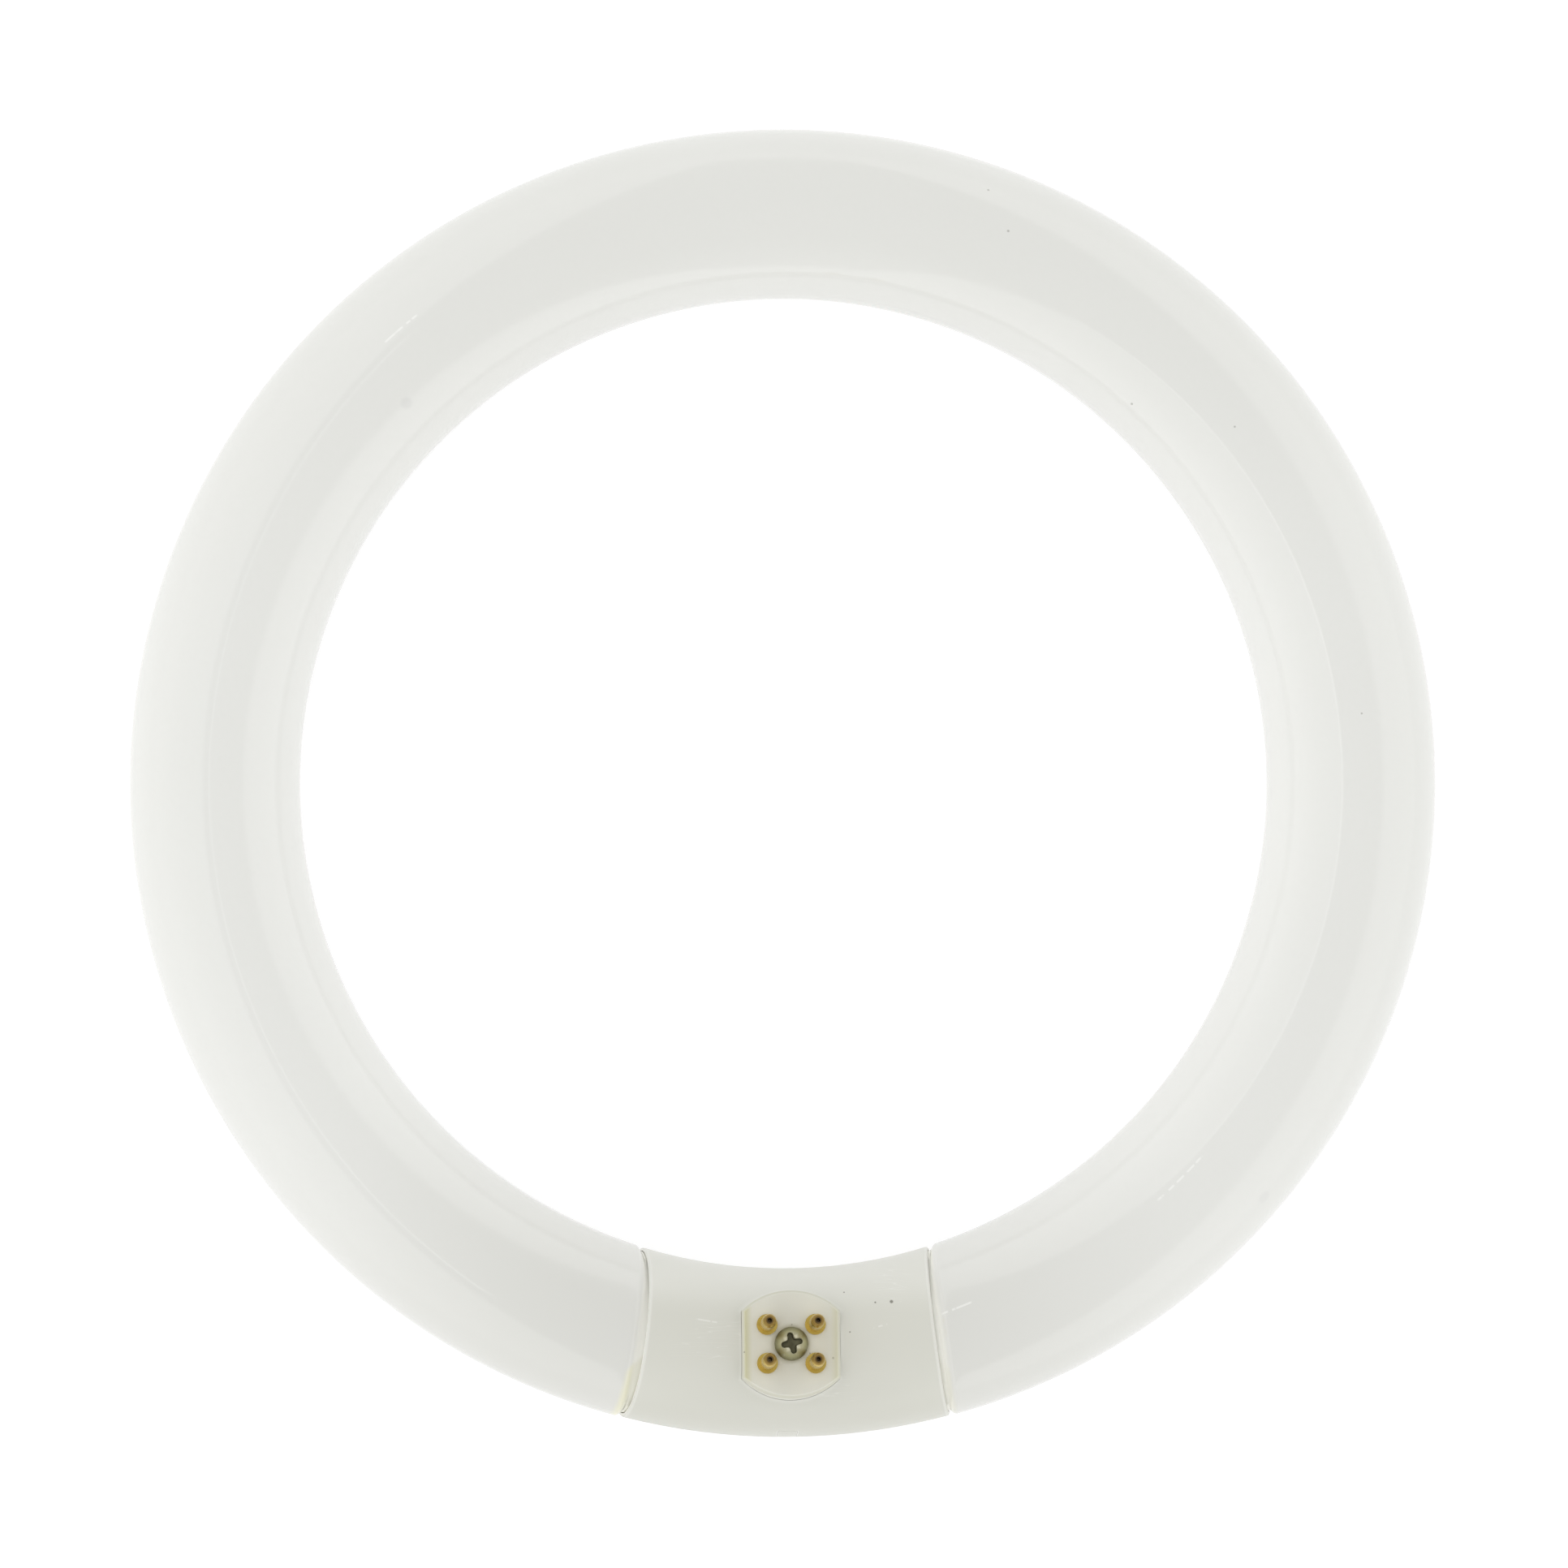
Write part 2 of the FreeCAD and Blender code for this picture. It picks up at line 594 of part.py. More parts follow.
def lead_body(name, place, diameters, top, run):
    body = new_body(name, place)
    route = new_sketch(body, f"{name}_route", "XZ_Plane")
    corners = [
        ("0", top),
        ("0", f"{RUN_LEVEL} + sizes.wire_bend"),
        ("sizes.wire_bend", RUN_LEVEL),
        (run, RUN_LEVEL),
    ]
    draw(route, corners, {1: "sizes.wire_bend"}, closed=False)
    section = new_sketch(body, f"{name}_section", "XY_Plane", top)
    draw_circles(section, [("0", "0", diameter) for diameter in diameters])
    pipe = feature(body, "AdditivePipe", f"{name}_pipe", section)
    pipe.Spine = (route, ["Edge1", "Edge2", "Edge3"])
    return body


lead_wires = []
wire_sleeves = []
for x, y, side_x, side_y in PIN_PLACES:
    along = f"({FLOOR_X} - sizes.pin_spacing_x / 2)"
    across = f"({FLOOR_Y} + {side_y} * (sizes.wire_spread - sizes.pin_spacing_y) / 2)"
    heading = f"atan2({across}; {side_x} * {along})"
    place = offset(CAP_FRAME, x, y, turn=f"rotationz({heading})")
    order = len(lead_wires) + 1
    run = f"hypot({along}; {across})"
    lead_wires.append(
        lead_body(f"lead_wire_{order}", place, ["sizes.wire_diameter"], WIRE_TOP, run)
    )
    open_run = "(sizes.neck_end - sizes.sleeve_gap - sizes.sleeve_diameter - sizes.pin_spacing_x / 2)"
    wire_sleeves.append(
        lead_body(
            f"wire_sleeve_{order}",
            place,
            ["sizes.sleeve_diameter", "sizes.sleeve_bore"],
            f"({PIN_FOOT} - sizes.sleeve_gap)",
            open_run,
        )
    )

# Every object has to be sound before any file is written.
doc.recompute()
nodes = [glass_tube, front_shell, rear_shell, pin_insert, cap_screw]
nodes += contact_pins + lead_wires + wire_sleeves
for item in doc.Objects:
    if "Invalid" in item.State or "Error" in item.State:
        raise RuntimeError(f"{item.Label} failed: {item.State}")
for node in nodes:
    if node.Shape.isNull() or not node.Shape.isValid() or len(node.Shape.Solids) != 1:
        raise RuntimeError(f"{node.Label} is not one sound solid")

os.makedirs("parts", exist_ok=True)
for node in nodes:
    node.Shape.exportStep(f"parts/{node.Label}.step")
    print(f"{node.Label}: {node.Shape.Volume:.1f} mm3")
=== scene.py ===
import json
import math

import bmesh
import bpy
import numpy as np
from bpy.props import FloatProperty, FloatVectorProperty, PointerProperty
from mathutils import Matrix, Vector


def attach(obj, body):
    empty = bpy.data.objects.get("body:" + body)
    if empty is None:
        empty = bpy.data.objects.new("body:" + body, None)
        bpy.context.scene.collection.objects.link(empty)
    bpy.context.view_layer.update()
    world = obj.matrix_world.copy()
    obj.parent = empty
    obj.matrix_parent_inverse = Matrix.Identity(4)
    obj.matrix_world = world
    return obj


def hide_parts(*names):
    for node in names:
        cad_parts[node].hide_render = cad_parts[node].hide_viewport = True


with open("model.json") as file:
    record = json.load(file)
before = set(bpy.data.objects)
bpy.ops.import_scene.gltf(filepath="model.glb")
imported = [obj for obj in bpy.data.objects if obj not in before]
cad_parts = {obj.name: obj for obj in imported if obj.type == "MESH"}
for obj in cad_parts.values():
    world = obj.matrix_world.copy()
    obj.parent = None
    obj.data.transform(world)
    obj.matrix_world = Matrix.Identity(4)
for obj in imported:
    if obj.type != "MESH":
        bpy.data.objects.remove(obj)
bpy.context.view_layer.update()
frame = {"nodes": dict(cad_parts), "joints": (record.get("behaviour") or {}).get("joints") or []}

bl_info = {
    "name": "Circular lamp",
    "version": (1, 0, 0),
    "blender": (4, 5, 0),
    "location": "View3D > Sidebar > Lamp",
    "description": "Dresses a circular fluorescent lamp: coated glass ring, moulded cap and contact pins",
    "category": "Object",
}

MM = 0.001

# The glass ring, in millimetres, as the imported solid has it.
RING = 94.0
TUBE = 14.0
STEP_DEPTH = 2.0
STEP_ROUND = 0.8
NECK = 10.25
NECK_ROUND = 2.5
NECK_REACH = 13.0
NECK_TURN = math.asin(NECK_REACH / RING)
FLARE_MOUTH = 6.75
FLARE_FLOOR = 5.5
FLARE_DEPTH = 7.0
TIP_BASE = 1.6
TIP_POINT = 0.8
TIP_LENGTH = 5.0

# The mouths of the cap: planes turned about Z and leaning in at the top.
CAP_REACH = 25.4
MOUTH_ANGLE = math.radians(7.5)
MOUTH_TILT = math.radians(6.9)
MOUTH_TURN = math.asin(CAP_REACH / RING)
MOUTH_POINT = np.array([CAP_REACH, -RING * math.cos(MOUTH_TURN), TUBE])
MOUTH_NORMAL = np.array(
    [
        math.cos(MOUTH_TILT) * math.cos(MOUTH_ANGLE),
        math.cos(MOUTH_TILT) * math.sin(MOUTH_ANGLE),
        math.sin(MOUTH_TILT),
    ]
)

# The seam beside a mouth. The glass slopes down to pass under the shells' lips, and leaves the room
# that the lips need as the cap swivels, with a gap along the tube and one round it. The slope is
# longer at the top than at the sides.
SWIVEL = next(joint for joint in frame["joints"] if joint["name"] == "cap_swivel")
SWIVEL_POINT = np.array(SWIVEL["pos_m"]) / MM
SEAM_GAP = 0.08
LIP = 13.35
LIP_SWING = 0.40
LIP_GAP = 0.10
SLOPE_SIDE = 0.9
SLOPE_TOP = 2.0

# The cap: the radius of its shells, and its own frame, with its middle on the tube's axis and Z
# along the pins.
SHELL = 13.9
CAP_LEAN = math.radians(9.0)
CAP_CENTRE = Vector((0.0, -RING * MM, TUBE * MM))

# The insert: half its width, the arc of its rounded ends with that arc's centre past the middle,
# and the height of its face along the pins, with the pins' places on it. Each pin has a lead and
# a sleeve of its own number.
INSERT_HALF = 8.05
INSERT_ARC = 11.47
INSERT_ARC_DROP = 2.62
FACE = 14.7
PIN_PLACE = (3.96, 3.175)
PIN_NUMBERS = range(1, 5)

# The cap screw: a pan head with a cross recess, and a threaded shank.
HEAD = 2.75
HEAD_HEIGHT = 1.9
HEAD_RIM = 0.6
HEAD_FLAT = 1.2
HEAD_BREAK = 0.06
RECESS_REACH = 1.8
RECESS_HALF = 0.50
RECESS_DEPTH = 1.4
RECESS_RISE = 0.35
RECESS_SLOPE = 0.16
RECESS_BLEND = 0.26
RECESS_TURN = math.radians(13.0)
SHANK = 1.45
SHANK_FILLET = 0.02
SCREW_LENGTH = 19.0
SCREW_POINT = 2.4
THREAD_START = -0.3
THREAD_PITCH = 1.06
THREAD_DEPTH = 0.25

# How finely the new skins are divided: the points round each and the rows along its stretches. Some
# rows have a place of their own: a depth, a radius, or a share of the way across an end.
GLASS_SIDES = 128
GLASS_ROWS = 400
NECK_ROWS = 7
STEP_ROWS = 6
SLOPE_ROWS = 12
NECK_WAIST = 6.0
TIP_FOOT = 0.3
TIP_SHARES = (0.02, 0.6, 1.0)
FLOOR_SHARES = (0.6, 0.98, 1.0)
SCREW_SIDES = 96
RECESS_RADII = np.linspace(0.03, 2.0, 46)
CROWN_RADII = np.linspace(2.1, HEAD, 8)
ROWS_A_TURN = 9
POINT_SHARES = (0.0, 0.5, 0.97)

# The bend from which an edge is sharp.
SHARP_ANGLE = math.radians(40.0)

# The search for a place at a set distance from a mouth: its widest turn and its number of halvings.
WIDEST_TURN = 0.9
HALVINGS = 48


def tint(name, description, default):
    """A colour that a user can change"""
    return FloatVectorProperty(
        name=name, description=description, subtype="COLOR", size=3, min=0.0, max=1.0, default=default
    )


def span(name, description, default):
    """A distance that a user can change"""
    return FloatProperty(
        name=name, description=description, subtype="DISTANCE", unit="LENGTH", default=default
    )


def brightness(name, description, default):
    """A level of light that a user can change"""
    return FloatProperty(name=name, description=description, min=0.0, default=default)


class GlassSettings(bpy.types.PropertyGroup):
    """Finish of the coated glass ring"""

    coating: tint("Coating", "Colour of the white coat inside the glass", (0.77, 0.773, 0.745))
    # A darker coat: beside the cap, in clouds and grain, and as painted shade towards the far side
    dark_coat_and_shade: tint(
        "End shade",
        "Colour of the coat beside the cap, where the ends have darkened",
        (0.675, 0.675, 0.64),
    )
    bare_glass: tint(
        "Bare glass", "Colour of the uncoated glass at the shoulders and necks", (0.75, 0.735, 0.565)
    )
    # Painted light: a pale colour that lifts the shade down in the seams beside the cap.
    seam_painted_light: tint(
        "Seam glass", "Colour of the pale glass down in the seams beside the cap", (0.95, 0.945, 0.87)
    )
    gloss: FloatProperty(
        name="Gloss roughness",
        description="Roughness of the outer face of the glass",
        subtype="FACTOR",
        min=0.0,
        max=1.0,
        default=0.035,
    )


class CapSettings(bpy.types.PropertyGroup):
    """Finish of the moulded cap and its insert"""

    shell: tint("Shell", "Colour of the two moulded shells", (0.645, 0.645, 0.585))
    # Pale colour for marks on the shells, and painted light on them and on the insert's walls.
    shell_pale_and_light: tint("Shell rim", "Paler colour along the shells' thin rims", (0.95, 0.95, 0.93))
    # Painted shade: a darker colour towards the outer side of the shells.
    shell_painted_shade: tint(
        "Shell shade", "Darker colour towards the outer side of the shells", (0.57, 0.57, 0.51)
    )
    insert: tint("Insert", "Colour of the moulded block that holds the pins", (0.675, 0.668, 0.59))
    # Yellower colour along the insert's flat sides.
    insert_edge: tint("Insert edge", "Aged colour along the insert's flat sides", (0.56, 0.545, 0.35))
    # Painted shade on the bevel round the insert's face.
    insert_bevel_shade: tint(
        "Insert bevel", "Colour of the bevel round the insert's face", (0.585, 0.578, 0.485)
    )


class MetalSettings(bpy.types.PropertyGroup):
    """Finish of the pins, the screw, the leads and their sleeves"""

    brass: tint("Brass", "Colour of the contact pins", (0.66, 0.49, 0.12))
    tarnish: tint("Tarnish", "Colour of the tarnish at the pins' ends and feet", (0.22, 0.13, 0.045))
    plating: tint("Plating", "Colour of the screw's olive plating", (0.36, 0.345, 0.20))
    # Rubbed plating in blotches, and a painted highlight round the recess.
    worn_plating_and_highlight: tint(
        "Worn plating", "Colour of the screw where its plating is rubbed bright", (0.56, 0.55, 0.42)
    )
    lead: tint("Lead", "Colour of the tinned lead wires", (0.55, 0.50, 0.44))
    sleeve: tint("Sleeve", "Colour of the woven insulating sleeves", (0.68, 0.66, 0.58))


class StageSettings(bpy.types.PropertyGroup):
    """Camera and light"""

    camera_height: span("Camera height", "Height of the camera over the ring", 1.5)
    camera_side: span("Camera offset", "How far the camera stands to the left of the ring's axis", 0.1)
    frame_width: span("Frame width", "Width of the picture at the ring", 0.2590)
    wall_light: brightness("Wall light", "Brightness of the pale walls all round", 1.39)
    ceiling_light: brightness(
        "Ceiling light", "Brightness of the dimmer stretch of ceiling over the ring", 0.6
    )
    strip_light: brightness(
        "Strip light", "Brightness of the long thin lamp beside the dim ceiling", 1.0
    )


class Nodes:
    """A node tree being built, with short calls for the nodes that are used most"""

    def __init__(self, tree):
        self.tree = tree

    def feed(self, socket, value):
        if isinstance(value, bpy.types.NodeSocket):
            self.tree.links.new(value, socket)
        else:
            socket.default_value = value

    def node(self, kind, *values, **options):
        """A new node with its first sockets fed in order"""
        made = self.tree.nodes.new(kind)
        for name, option in options.items():
            setattr(made, name, option)
        for socket, value in zip(made.inputs, values):
            self.feed(socket, value)
        return made

    def fill(self, made, **values):
        """Feeds a node's sockets by name, with _ for a space"""
        for name, value in values.items():
            self.feed(made.inputs[name.replace("_", " ")], value)
        return made

    def math(self, operation, first, second=0.0):
        return self.node("ShaderNodeMath", first, second, operation=operation).outputs[0]

    def plus(self, first, second):
        return self.math("ADD", first, second)

    def less(self, first, second):
        return self.math("SUBTRACT", first, second)

    def times(self, first, second):
        return self.math("MULTIPLY", first, second)

    def size(self, value):
        return self.math("ABSOLUTE", value)

    def vector(self, operation, first, second=(0.0, 0.0, 0.0)):
        made = self.node("ShaderNodeVectorMath", first, second, operation=operation)
        single = operation in ("DOT_PRODUCT", "DISTANCE", "LENGTH")
        return made.outputs["Value" if single else "Vector"]

    def parts(self, vector):
        return self.node("ShaderNodeSeparateXYZ", vector).outputs

    def combine(self, x, y):
        return self.node("ShaderNodeCombineXYZ", x, y).outputs[0]

    def length(self, x, y):
        return self.vector("LENGTH", self.combine(x, y))

    def fade(self, value, low, high, start=0.0, end=1.0):
        values = (value, low, high, start, end)
        return self.node("ShaderNodeMapRange", *values, interpolation_type="SMOOTHSTEP").outputs[0]

    def mapped(self, vector, turn=0.0, scale=(1.0, 1.0, 1.0)):
        """A vector scaled and then turned about Z"""
        made = self.node("ShaderNodeMapping")
        self.fill(made, Vector=vector, Rotation=(0.0, 0.0, turn), Scale=scale)
        return made.outputs[0]

    def noise(self, vector, scale, detail):
        made = self.node("ShaderNodeTexNoise")
        return self.fill(made, Vector=vector, Scale=scale, Detail=detail).outputs[0]

    def drawn_noise(self, vector, scale, turn=0.0):
        """Noise drawn out along the axis with the smaller scale"""
        return self.noise(self.mapped(vector, turn, scale), 1.0, 1.0)

    def cells(self, vector, scale):
        made = self.fill(self.node("ShaderNodeTexVoronoi"), Vector=vector, Scale=scale)
        return made.outputs["Distance"], made.outputs["Color"]

    def mix(self, amount, first, second):
        """Two colours mixed, by the node's sockets for colours, which follow those of its other kinds"""
        made = self.node("ShaderNodeMix", amount, data_type="RGBA")
        for socket, value in zip(made.inputs[6:8], (first, second)):
            self.feed(socket, value if isinstance(value, bpy.types.NodeSocket) else (*value, 1.0))
        return made.outputs[2]

    def shift(self, colour, tone, value, limits):
        """A colour that fades to another tone as a value runs between limits"""
        return self.mix(self.fade(value, *limits), colour, tone)

    def bump(self, height, strength, depth):
        made = self.node("ShaderNodeBump")
        return self.fill(made, Height=height, Strength=strength, Distance=depth).outputs["Normal"]


class Finish(Nodes):
    """A material being built, worked out from the piece's own coordinates at rest"""

    def __init__(self, name):
        self.material = bpy.data.materials.new(name)
        self.material.use_nodes = True
        super().__init__(self.material.node_tree)
        self.shader = self.tree.nodes["Principled BSDF"]
        self.place = self.node("ShaderNodeTexCoord").outputs["Object"]

    def surface(self, **sockets):
        self.fill(self.shader, **sockets)
        return self.material


def ring_places(finish):
    """Places on the ring

    Millimetres along the ring and round the tube, the share out from the tube's axis, and
    millimetres from that axis.
    """
    x, y, z = finish.parts(finish.place)
    reach = finish.length(x, y)
    turn = finish.math("ARCTAN2", x, finish.times(y, -1.0))
    lift = finish.less(z, TUBE * MM)
    aside = finish.less(reach, RING * MM)
    roll = finish.math("ARCTAN2", lift, aside)
    return (
        finish.times(turn, RING),
        finish.times(roll, TUBE),
        finish.math("DIVIDE", aside, TUBE * MM),
        finish.times(finish.length(aside, lift), 1 / MM),
    )


def behind_mouth(finish, side):
    """Millimetres outward from one mouth of the cap"""
    normal = Vector(MOUTH_NORMAL * (side, 1.0, 1.0))
    level = normal.dot(Vector(MOUTH_POINT * (side, 1.0, 1.0)))
    reach = finish.times(finish.vector("DOT_PRODUCT", finish.place, normal), 1 / MM)
    return finish.less(reach, level)


def cap_place(finish):
    """Millimetres along the cap, across it and up along the pins"""
    moved = finish.vector("SUBTRACT", finish.place, CAP_CENTRE)
    scaled = finish.vector("MULTIPLY", moved, (1 / MM, 1 / MM, 1 / MM))
    across = finish.vector("DOT_PRODUCT", scaled, (0.0, math.cos(CAP_LEAN), -math.sin(CAP_LEAN)))
    height = finish.vector("DOT_PRODUCT", scaled, (0.0, math.sin(CAP_LEAN), math.cos(CAP_LEAN)))
    return finish.parts(scaled)[0], across, height


# How the finishes give their numbers. A noise has its scale and its detail. A fade has the values
# where it starts and ends, and then what it gives there, if that isn't 0 and 1. A bump has its
# strength and its depth in metres. A round mark has an edge: the shares of its radius where it
# starts and where it is full, and then its strength. Dust has the scale of its cells, a fade over
# each speck and a fade that picks the cells which hold one.

# A thin broken line, for scratches and for painted reflections: the shares of its width and
# length that are full, and the noise that breaks it up.
STREAK_CORE = 0.4
STREAK_RUN = 0.85
STREAK_NOISE = (1.3, 0.0)
STREAK_BREAKS = (0.34, 0.48)

# Hairlines, where a drawn-out noise crosses its middle level: its stretch, the way each set runs,
# their width, and the noise that breaks them up.
HAIR_STRETCH = (60.0, 1400.0, 60.0)
HAIR_TURNS = (0.35, -0.6)
HAIR_LEVEL = 0.5
HAIR_WIDTH = 0.012
HAIR_NOISE = (95.0, 2.0)
HAIR_BREAKS = (0.56, 0.68)


def streak(finish, flat, start, end, width):
    """A thin broken line between two points of a surface, for scratches and for painted reflections"""
    first, last = Vector((*start, 0.0)), Vector((*end, 0.0))
    way = (last - first).normalized()
    half = (last - first).length / 2
    moved = finish.vector("SUBTRACT", flat, (first + last) / 2)
    run = finish.vector("DOT_PRODUCT", moved, way)
    side = finish.vector("DOT_PRODUCT", moved, (-way.y, way.x, 0.0))
    band = finish.fade(finish.size(side), width, width * STREAK_CORE)
    stretch = finish.fade(finish.size(run), half, half * STREAK_RUN)
    broken = finish.fade(finish.noise(finish.combine(run, half), *STREAK_NOISE), *STREAK_BREAKS)
    return finish.times(finish.times(band, stretch), broken)


def hairlines(finish, turn):
    """Fine broken scratches that all run one way"""
    lines = finish.drawn_noise(finish.place, HAIR_STRETCH, turn)
    thin = finish.fade(finish.size(finish.less(lines, HAIR_LEVEL)), HAIR_WIDTH, 0.0)
    broken = finish.fade(finish.noise(finish.place, *HAIR_NOISE), *HAIR_BREAKS)
    return finish.times(thin, broken)


def spot(finish, flat, where, radius, start, full, strength):
    """A round mark on a surface"""
    gap = finish.vector("DISTANCE", flat, (*where, 0.0))
    return finish.fade(gap, radius * start, radius * full, 0.0, strength)


def dust(finish, place, scale, speck, chosen):
    """Specks in a few scattered cells"""
    gap, pick = finish.cells(place, scale)
    return finish.times(finish.fade(gap, *speck), finish.fade(finish.parts(pick)[0], *chosen))


# The coat of the glass. It darkens beside the cap (in millimetres along the ring from a middle),
# and in clouds and in grain. Painted shade darkens it towards the far side (in metres along Y), and
# painted light makes it paler on the inner side.
GLASS_CLOUDS = (14.0, 2.0)
GLASS_GRAIN = (900.0, 2.0)
FAR_PAINTED_SHADE = (0.02, 0.09, 0.0, 0.25)
ENDS_MIDDLE = -6.0
ENDS_DARK = (20.0, 88.0, 1.0, 0.0)
CLOUDS_DARK = (0.35, 0.75, 0.0, 0.10)
GRAIN_DARK = (0.3, 0.8, 0.0, 0.06)
INNER_PAINTED_LIGHT = (-0.25, -1.0, 0.0, 0.26)

# The seams, painted pale as painted light against the shade down in them, by the distance from the
# tube's axis. At the tube's inner and outer sides they are full sooner.
SEAM_DEEP = (TUBE - 0.2, TUBE - 1.15)
SEAM_LOW = (TUBE - 0.2, TUBE - 0.7)
SEAM_SIDES = (0.6, 0.9)

# The bare glass beside each seam: the side, the width of its wedge at the outer edge and its
# strength. Then the wedge's run outward, its place before that, its soft edge, how much of it shows
# in the seam, and the stretch of the ring that it keeps to.
BARE_ENDS = ((-1, 2.0, 1.0), (1, 1.2, 0.45))
WEDGE_RUN = (0.1, 0.45)
WEDGE_INNER = -0.8
BARE_EDGE = (0.8, -0.5)
BARE_IN_SEAM = (0.0, 1.0, 1.0, 0.4)
NEAR_CAP = (40.0, 36.0)
THIS_END = (-1.0, 1.0)

# Faint marks on the glass, in millimetres along the ring and round the tube: grey spots with a
# radius and a strength, dark specks with a radius, and light streaks from end to end. The first two
# streaks are painted reflections of small lamps, and the last is a scratch.
SPOTS = ((-220.9, 27.8, 1.4, 0.35), (80.4, 11.1, 1.4, 0.22))
SPOT_EDGE = (1.0, 0.4)
SPOT_GREY = (0.62, 0.62, 0.61)
SPECKS = (
    (264.9, 12.5, 0.16),
    (260.0, 18.6, 0.18),
    (226.2, 32.9, 0.20),
    (211.2, 22.4, 0.15),
    (159.1, 21.3, 0.14),
)
SPECK_EDGE = (1.6, 0.6, 0.6)
SPECK_BROWN = (0.30, 0.29, 0.26)
GLASS_DUST = (0.045, (0.0055, 0.0025), (0.60, 0.62, 0.0, 0.35))
SCRATCHES_AND_REFLECTIONS = (
    ((-232.1, 18.0), (-224.9, 18.0)),
    ((67.6, 24.8), (78.8, 24.8)),
    ((25.0, 25.6), (31.8, 26.0)),
)
GLASS_STREAK_WIDTH = 0.24
GLASS_STREAK_STRENGTH = 0.45
LIGHT_AND_SCRATCH_WHITE = (0.95, 0.95, 0.93)

# The glass itself over the coat, with slow waves along the tube.
GLASS_WAVES = (0.012, 0.05, 1.0)
GLASS_BUMP = (0.25, 0.0006)
GLASS_IOR = 1.5
COAT_ROUGH = (0.3, 0.7, 0.48, 0.60)


def glass_finish(settings):
    finish = Finish("coated_glass")
    along, around, out, section = ring_places(finish)
    flat = finish.combine(along, around)

    clouds = finish.noise(finish.place, *GLASS_CLOUDS)
    grain = finish.noise(finish.place, *GLASS_GRAIN)
    from_cap = finish.size(finish.less(along, ENDS_MIDDLE))
    _, back, _ = finish.parts(finish.place)
    # Painted shade: the coat darkens towards the far side of the ring.
    colour = finish.shift(settings.coating, settings.dark_coat_and_shade, back, FAR_PAINTED_SHADE)
    for value, dark in ((from_cap, ENDS_DARK), (clouds, CLOUDS_DARK), (grain, GRAIN_DARK)):
        colour = finish.shift(colour, settings.dark_coat_and_shade, value, dark)
    # Painted light: the coat is paler on the ring's inner side.
    colour = finish.shift(colour, LIGHT_AND_SCRATCH_WHITE, out, INNER_PAINTED_LIGHT)

    sides = finish.fade(finish.size(out), *SEAM_SIDES)
    low_seam = finish.times(finish.fade(section, *SEAM_LOW), sides)
    seam = finish.math("MAXIMUM", finish.fade(section, *SEAM_DEEP), low_seam)
    # Painted light: the glass down in the seams is paled against their shade.
    colour = finish.mix(seam, colour, settings.seam_painted_light)
    near_cap = finish.fade(finish.size(along), *NEAR_CAP)
    for side, width, strength in BARE_ENDS:
        here = finish.times(finish.fade(finish.times(along, side), *THIS_END), near_cap)
        wedge = finish.fade(out, *WEDGE_RUN, WEDGE_INNER, width)
        past = finish.less(behind_mouth(finish, side), wedge)
        bare = finish.fade(past, *BARE_EDGE, 0.0, strength)
        bare = finish.times(bare, finish.fade(seam, *BARE_IN_SEAM))
        colour = finish.mix(finish.times(bare, here), colour, settings.bare_glass)

    for *where, radius, strength in SPOTS:
        mark = spot(finish, flat, where, radius, *SPOT_EDGE, strength)
        colour = finish.mix(mark, colour, SPOT_GREY)
    for *where, radius in SPECKS:
        colour = finish.mix(spot(finish, flat, where, radius, *SPECK_EDGE), colour, SPECK_BROWN)
    colour = finish.mix(dust(finish, flat, *GLASS_DUST), colour, SPECK_BROWN)
    # The first two streaks are painted reflections of small lamps; the last is a scratch.
    for start, end in SCRATCHES_AND_REFLECTIONS:
        mark = finish.times(streak(finish, flat, start, end, GLASS_STREAK_WIDTH), GLASS_STREAK_STRENGTH)
        colour = finish.mix(mark, colour, LIGHT_AND_SCRATCH_WHITE)

    return finish.surface(
        Base_Color=colour,
        Roughness=finish.fade(grain, *COAT_ROUGH),
        Normal=finish.bump(finish.drawn_noise(flat, GLASS_WAVES), *GLASS_BUMP),
        Coat_Weight=1.0,
        Coat_Roughness=settings.gloss,
        Coat_IOR=GLASS_IOR,
        Specular_IOR_Level=0.0,
    )


# The shells' plastic. It yellows in clouds. Painted light makes it paler towards the inner side and
# painted shade darker towards the outer one (in millimetres across the cap), and painted light makes
# it paler round the window, along the mouths, and below its outer face.
SHELL_CLOUDS = (42.0, 3.0)
SHELL_GRAIN = (2600.0, 2.0)
YELLOW_SHARE = 0.5
SHELL_YELLOW = (0.40, 0.75, 0.0, 0.16)
SHELL_INNER_LIGHT = (4.5, 12.5, 0.0, 0.23)
SHELL_OUTER_SHADE = (-4.0, -12.5, 0.0, 0.6)
WINDOW_PAINTED_LIGHT = (0.8, 0.0, 0.0, 0.2)
SHELL_LIGHT_BELOW_FACE = (SHELL - 0.15, SHELL - 0.45)
MOUTH_PAINTED_LIGHT = (-0.6, -0.3, 0.0, 0.2)
SHELL_ROUGH = (0.3, 1.0, 0.30, 0.46)
SHELL_BUMP = (0.10, 0.00008)
SHELL_GLOSS = 0.5

# The pale lines down both sides of the tongue at the parting: their place and width, the outer face
# that shows them, and their lower and upper ends.
TONGUE_HALF = 1.65
TONGUE_TOP = 3.8
TONGUE_LINE = (0.20, 0.08)
TONGUE_FACE = (-13.0, -13.4, 0.0, 0.45)
TONGUE_FOOT = (-0.1, 0.2)
TONGUE_HEAD = (TONGUE_TOP + 0.3, TONGUE_TOP)

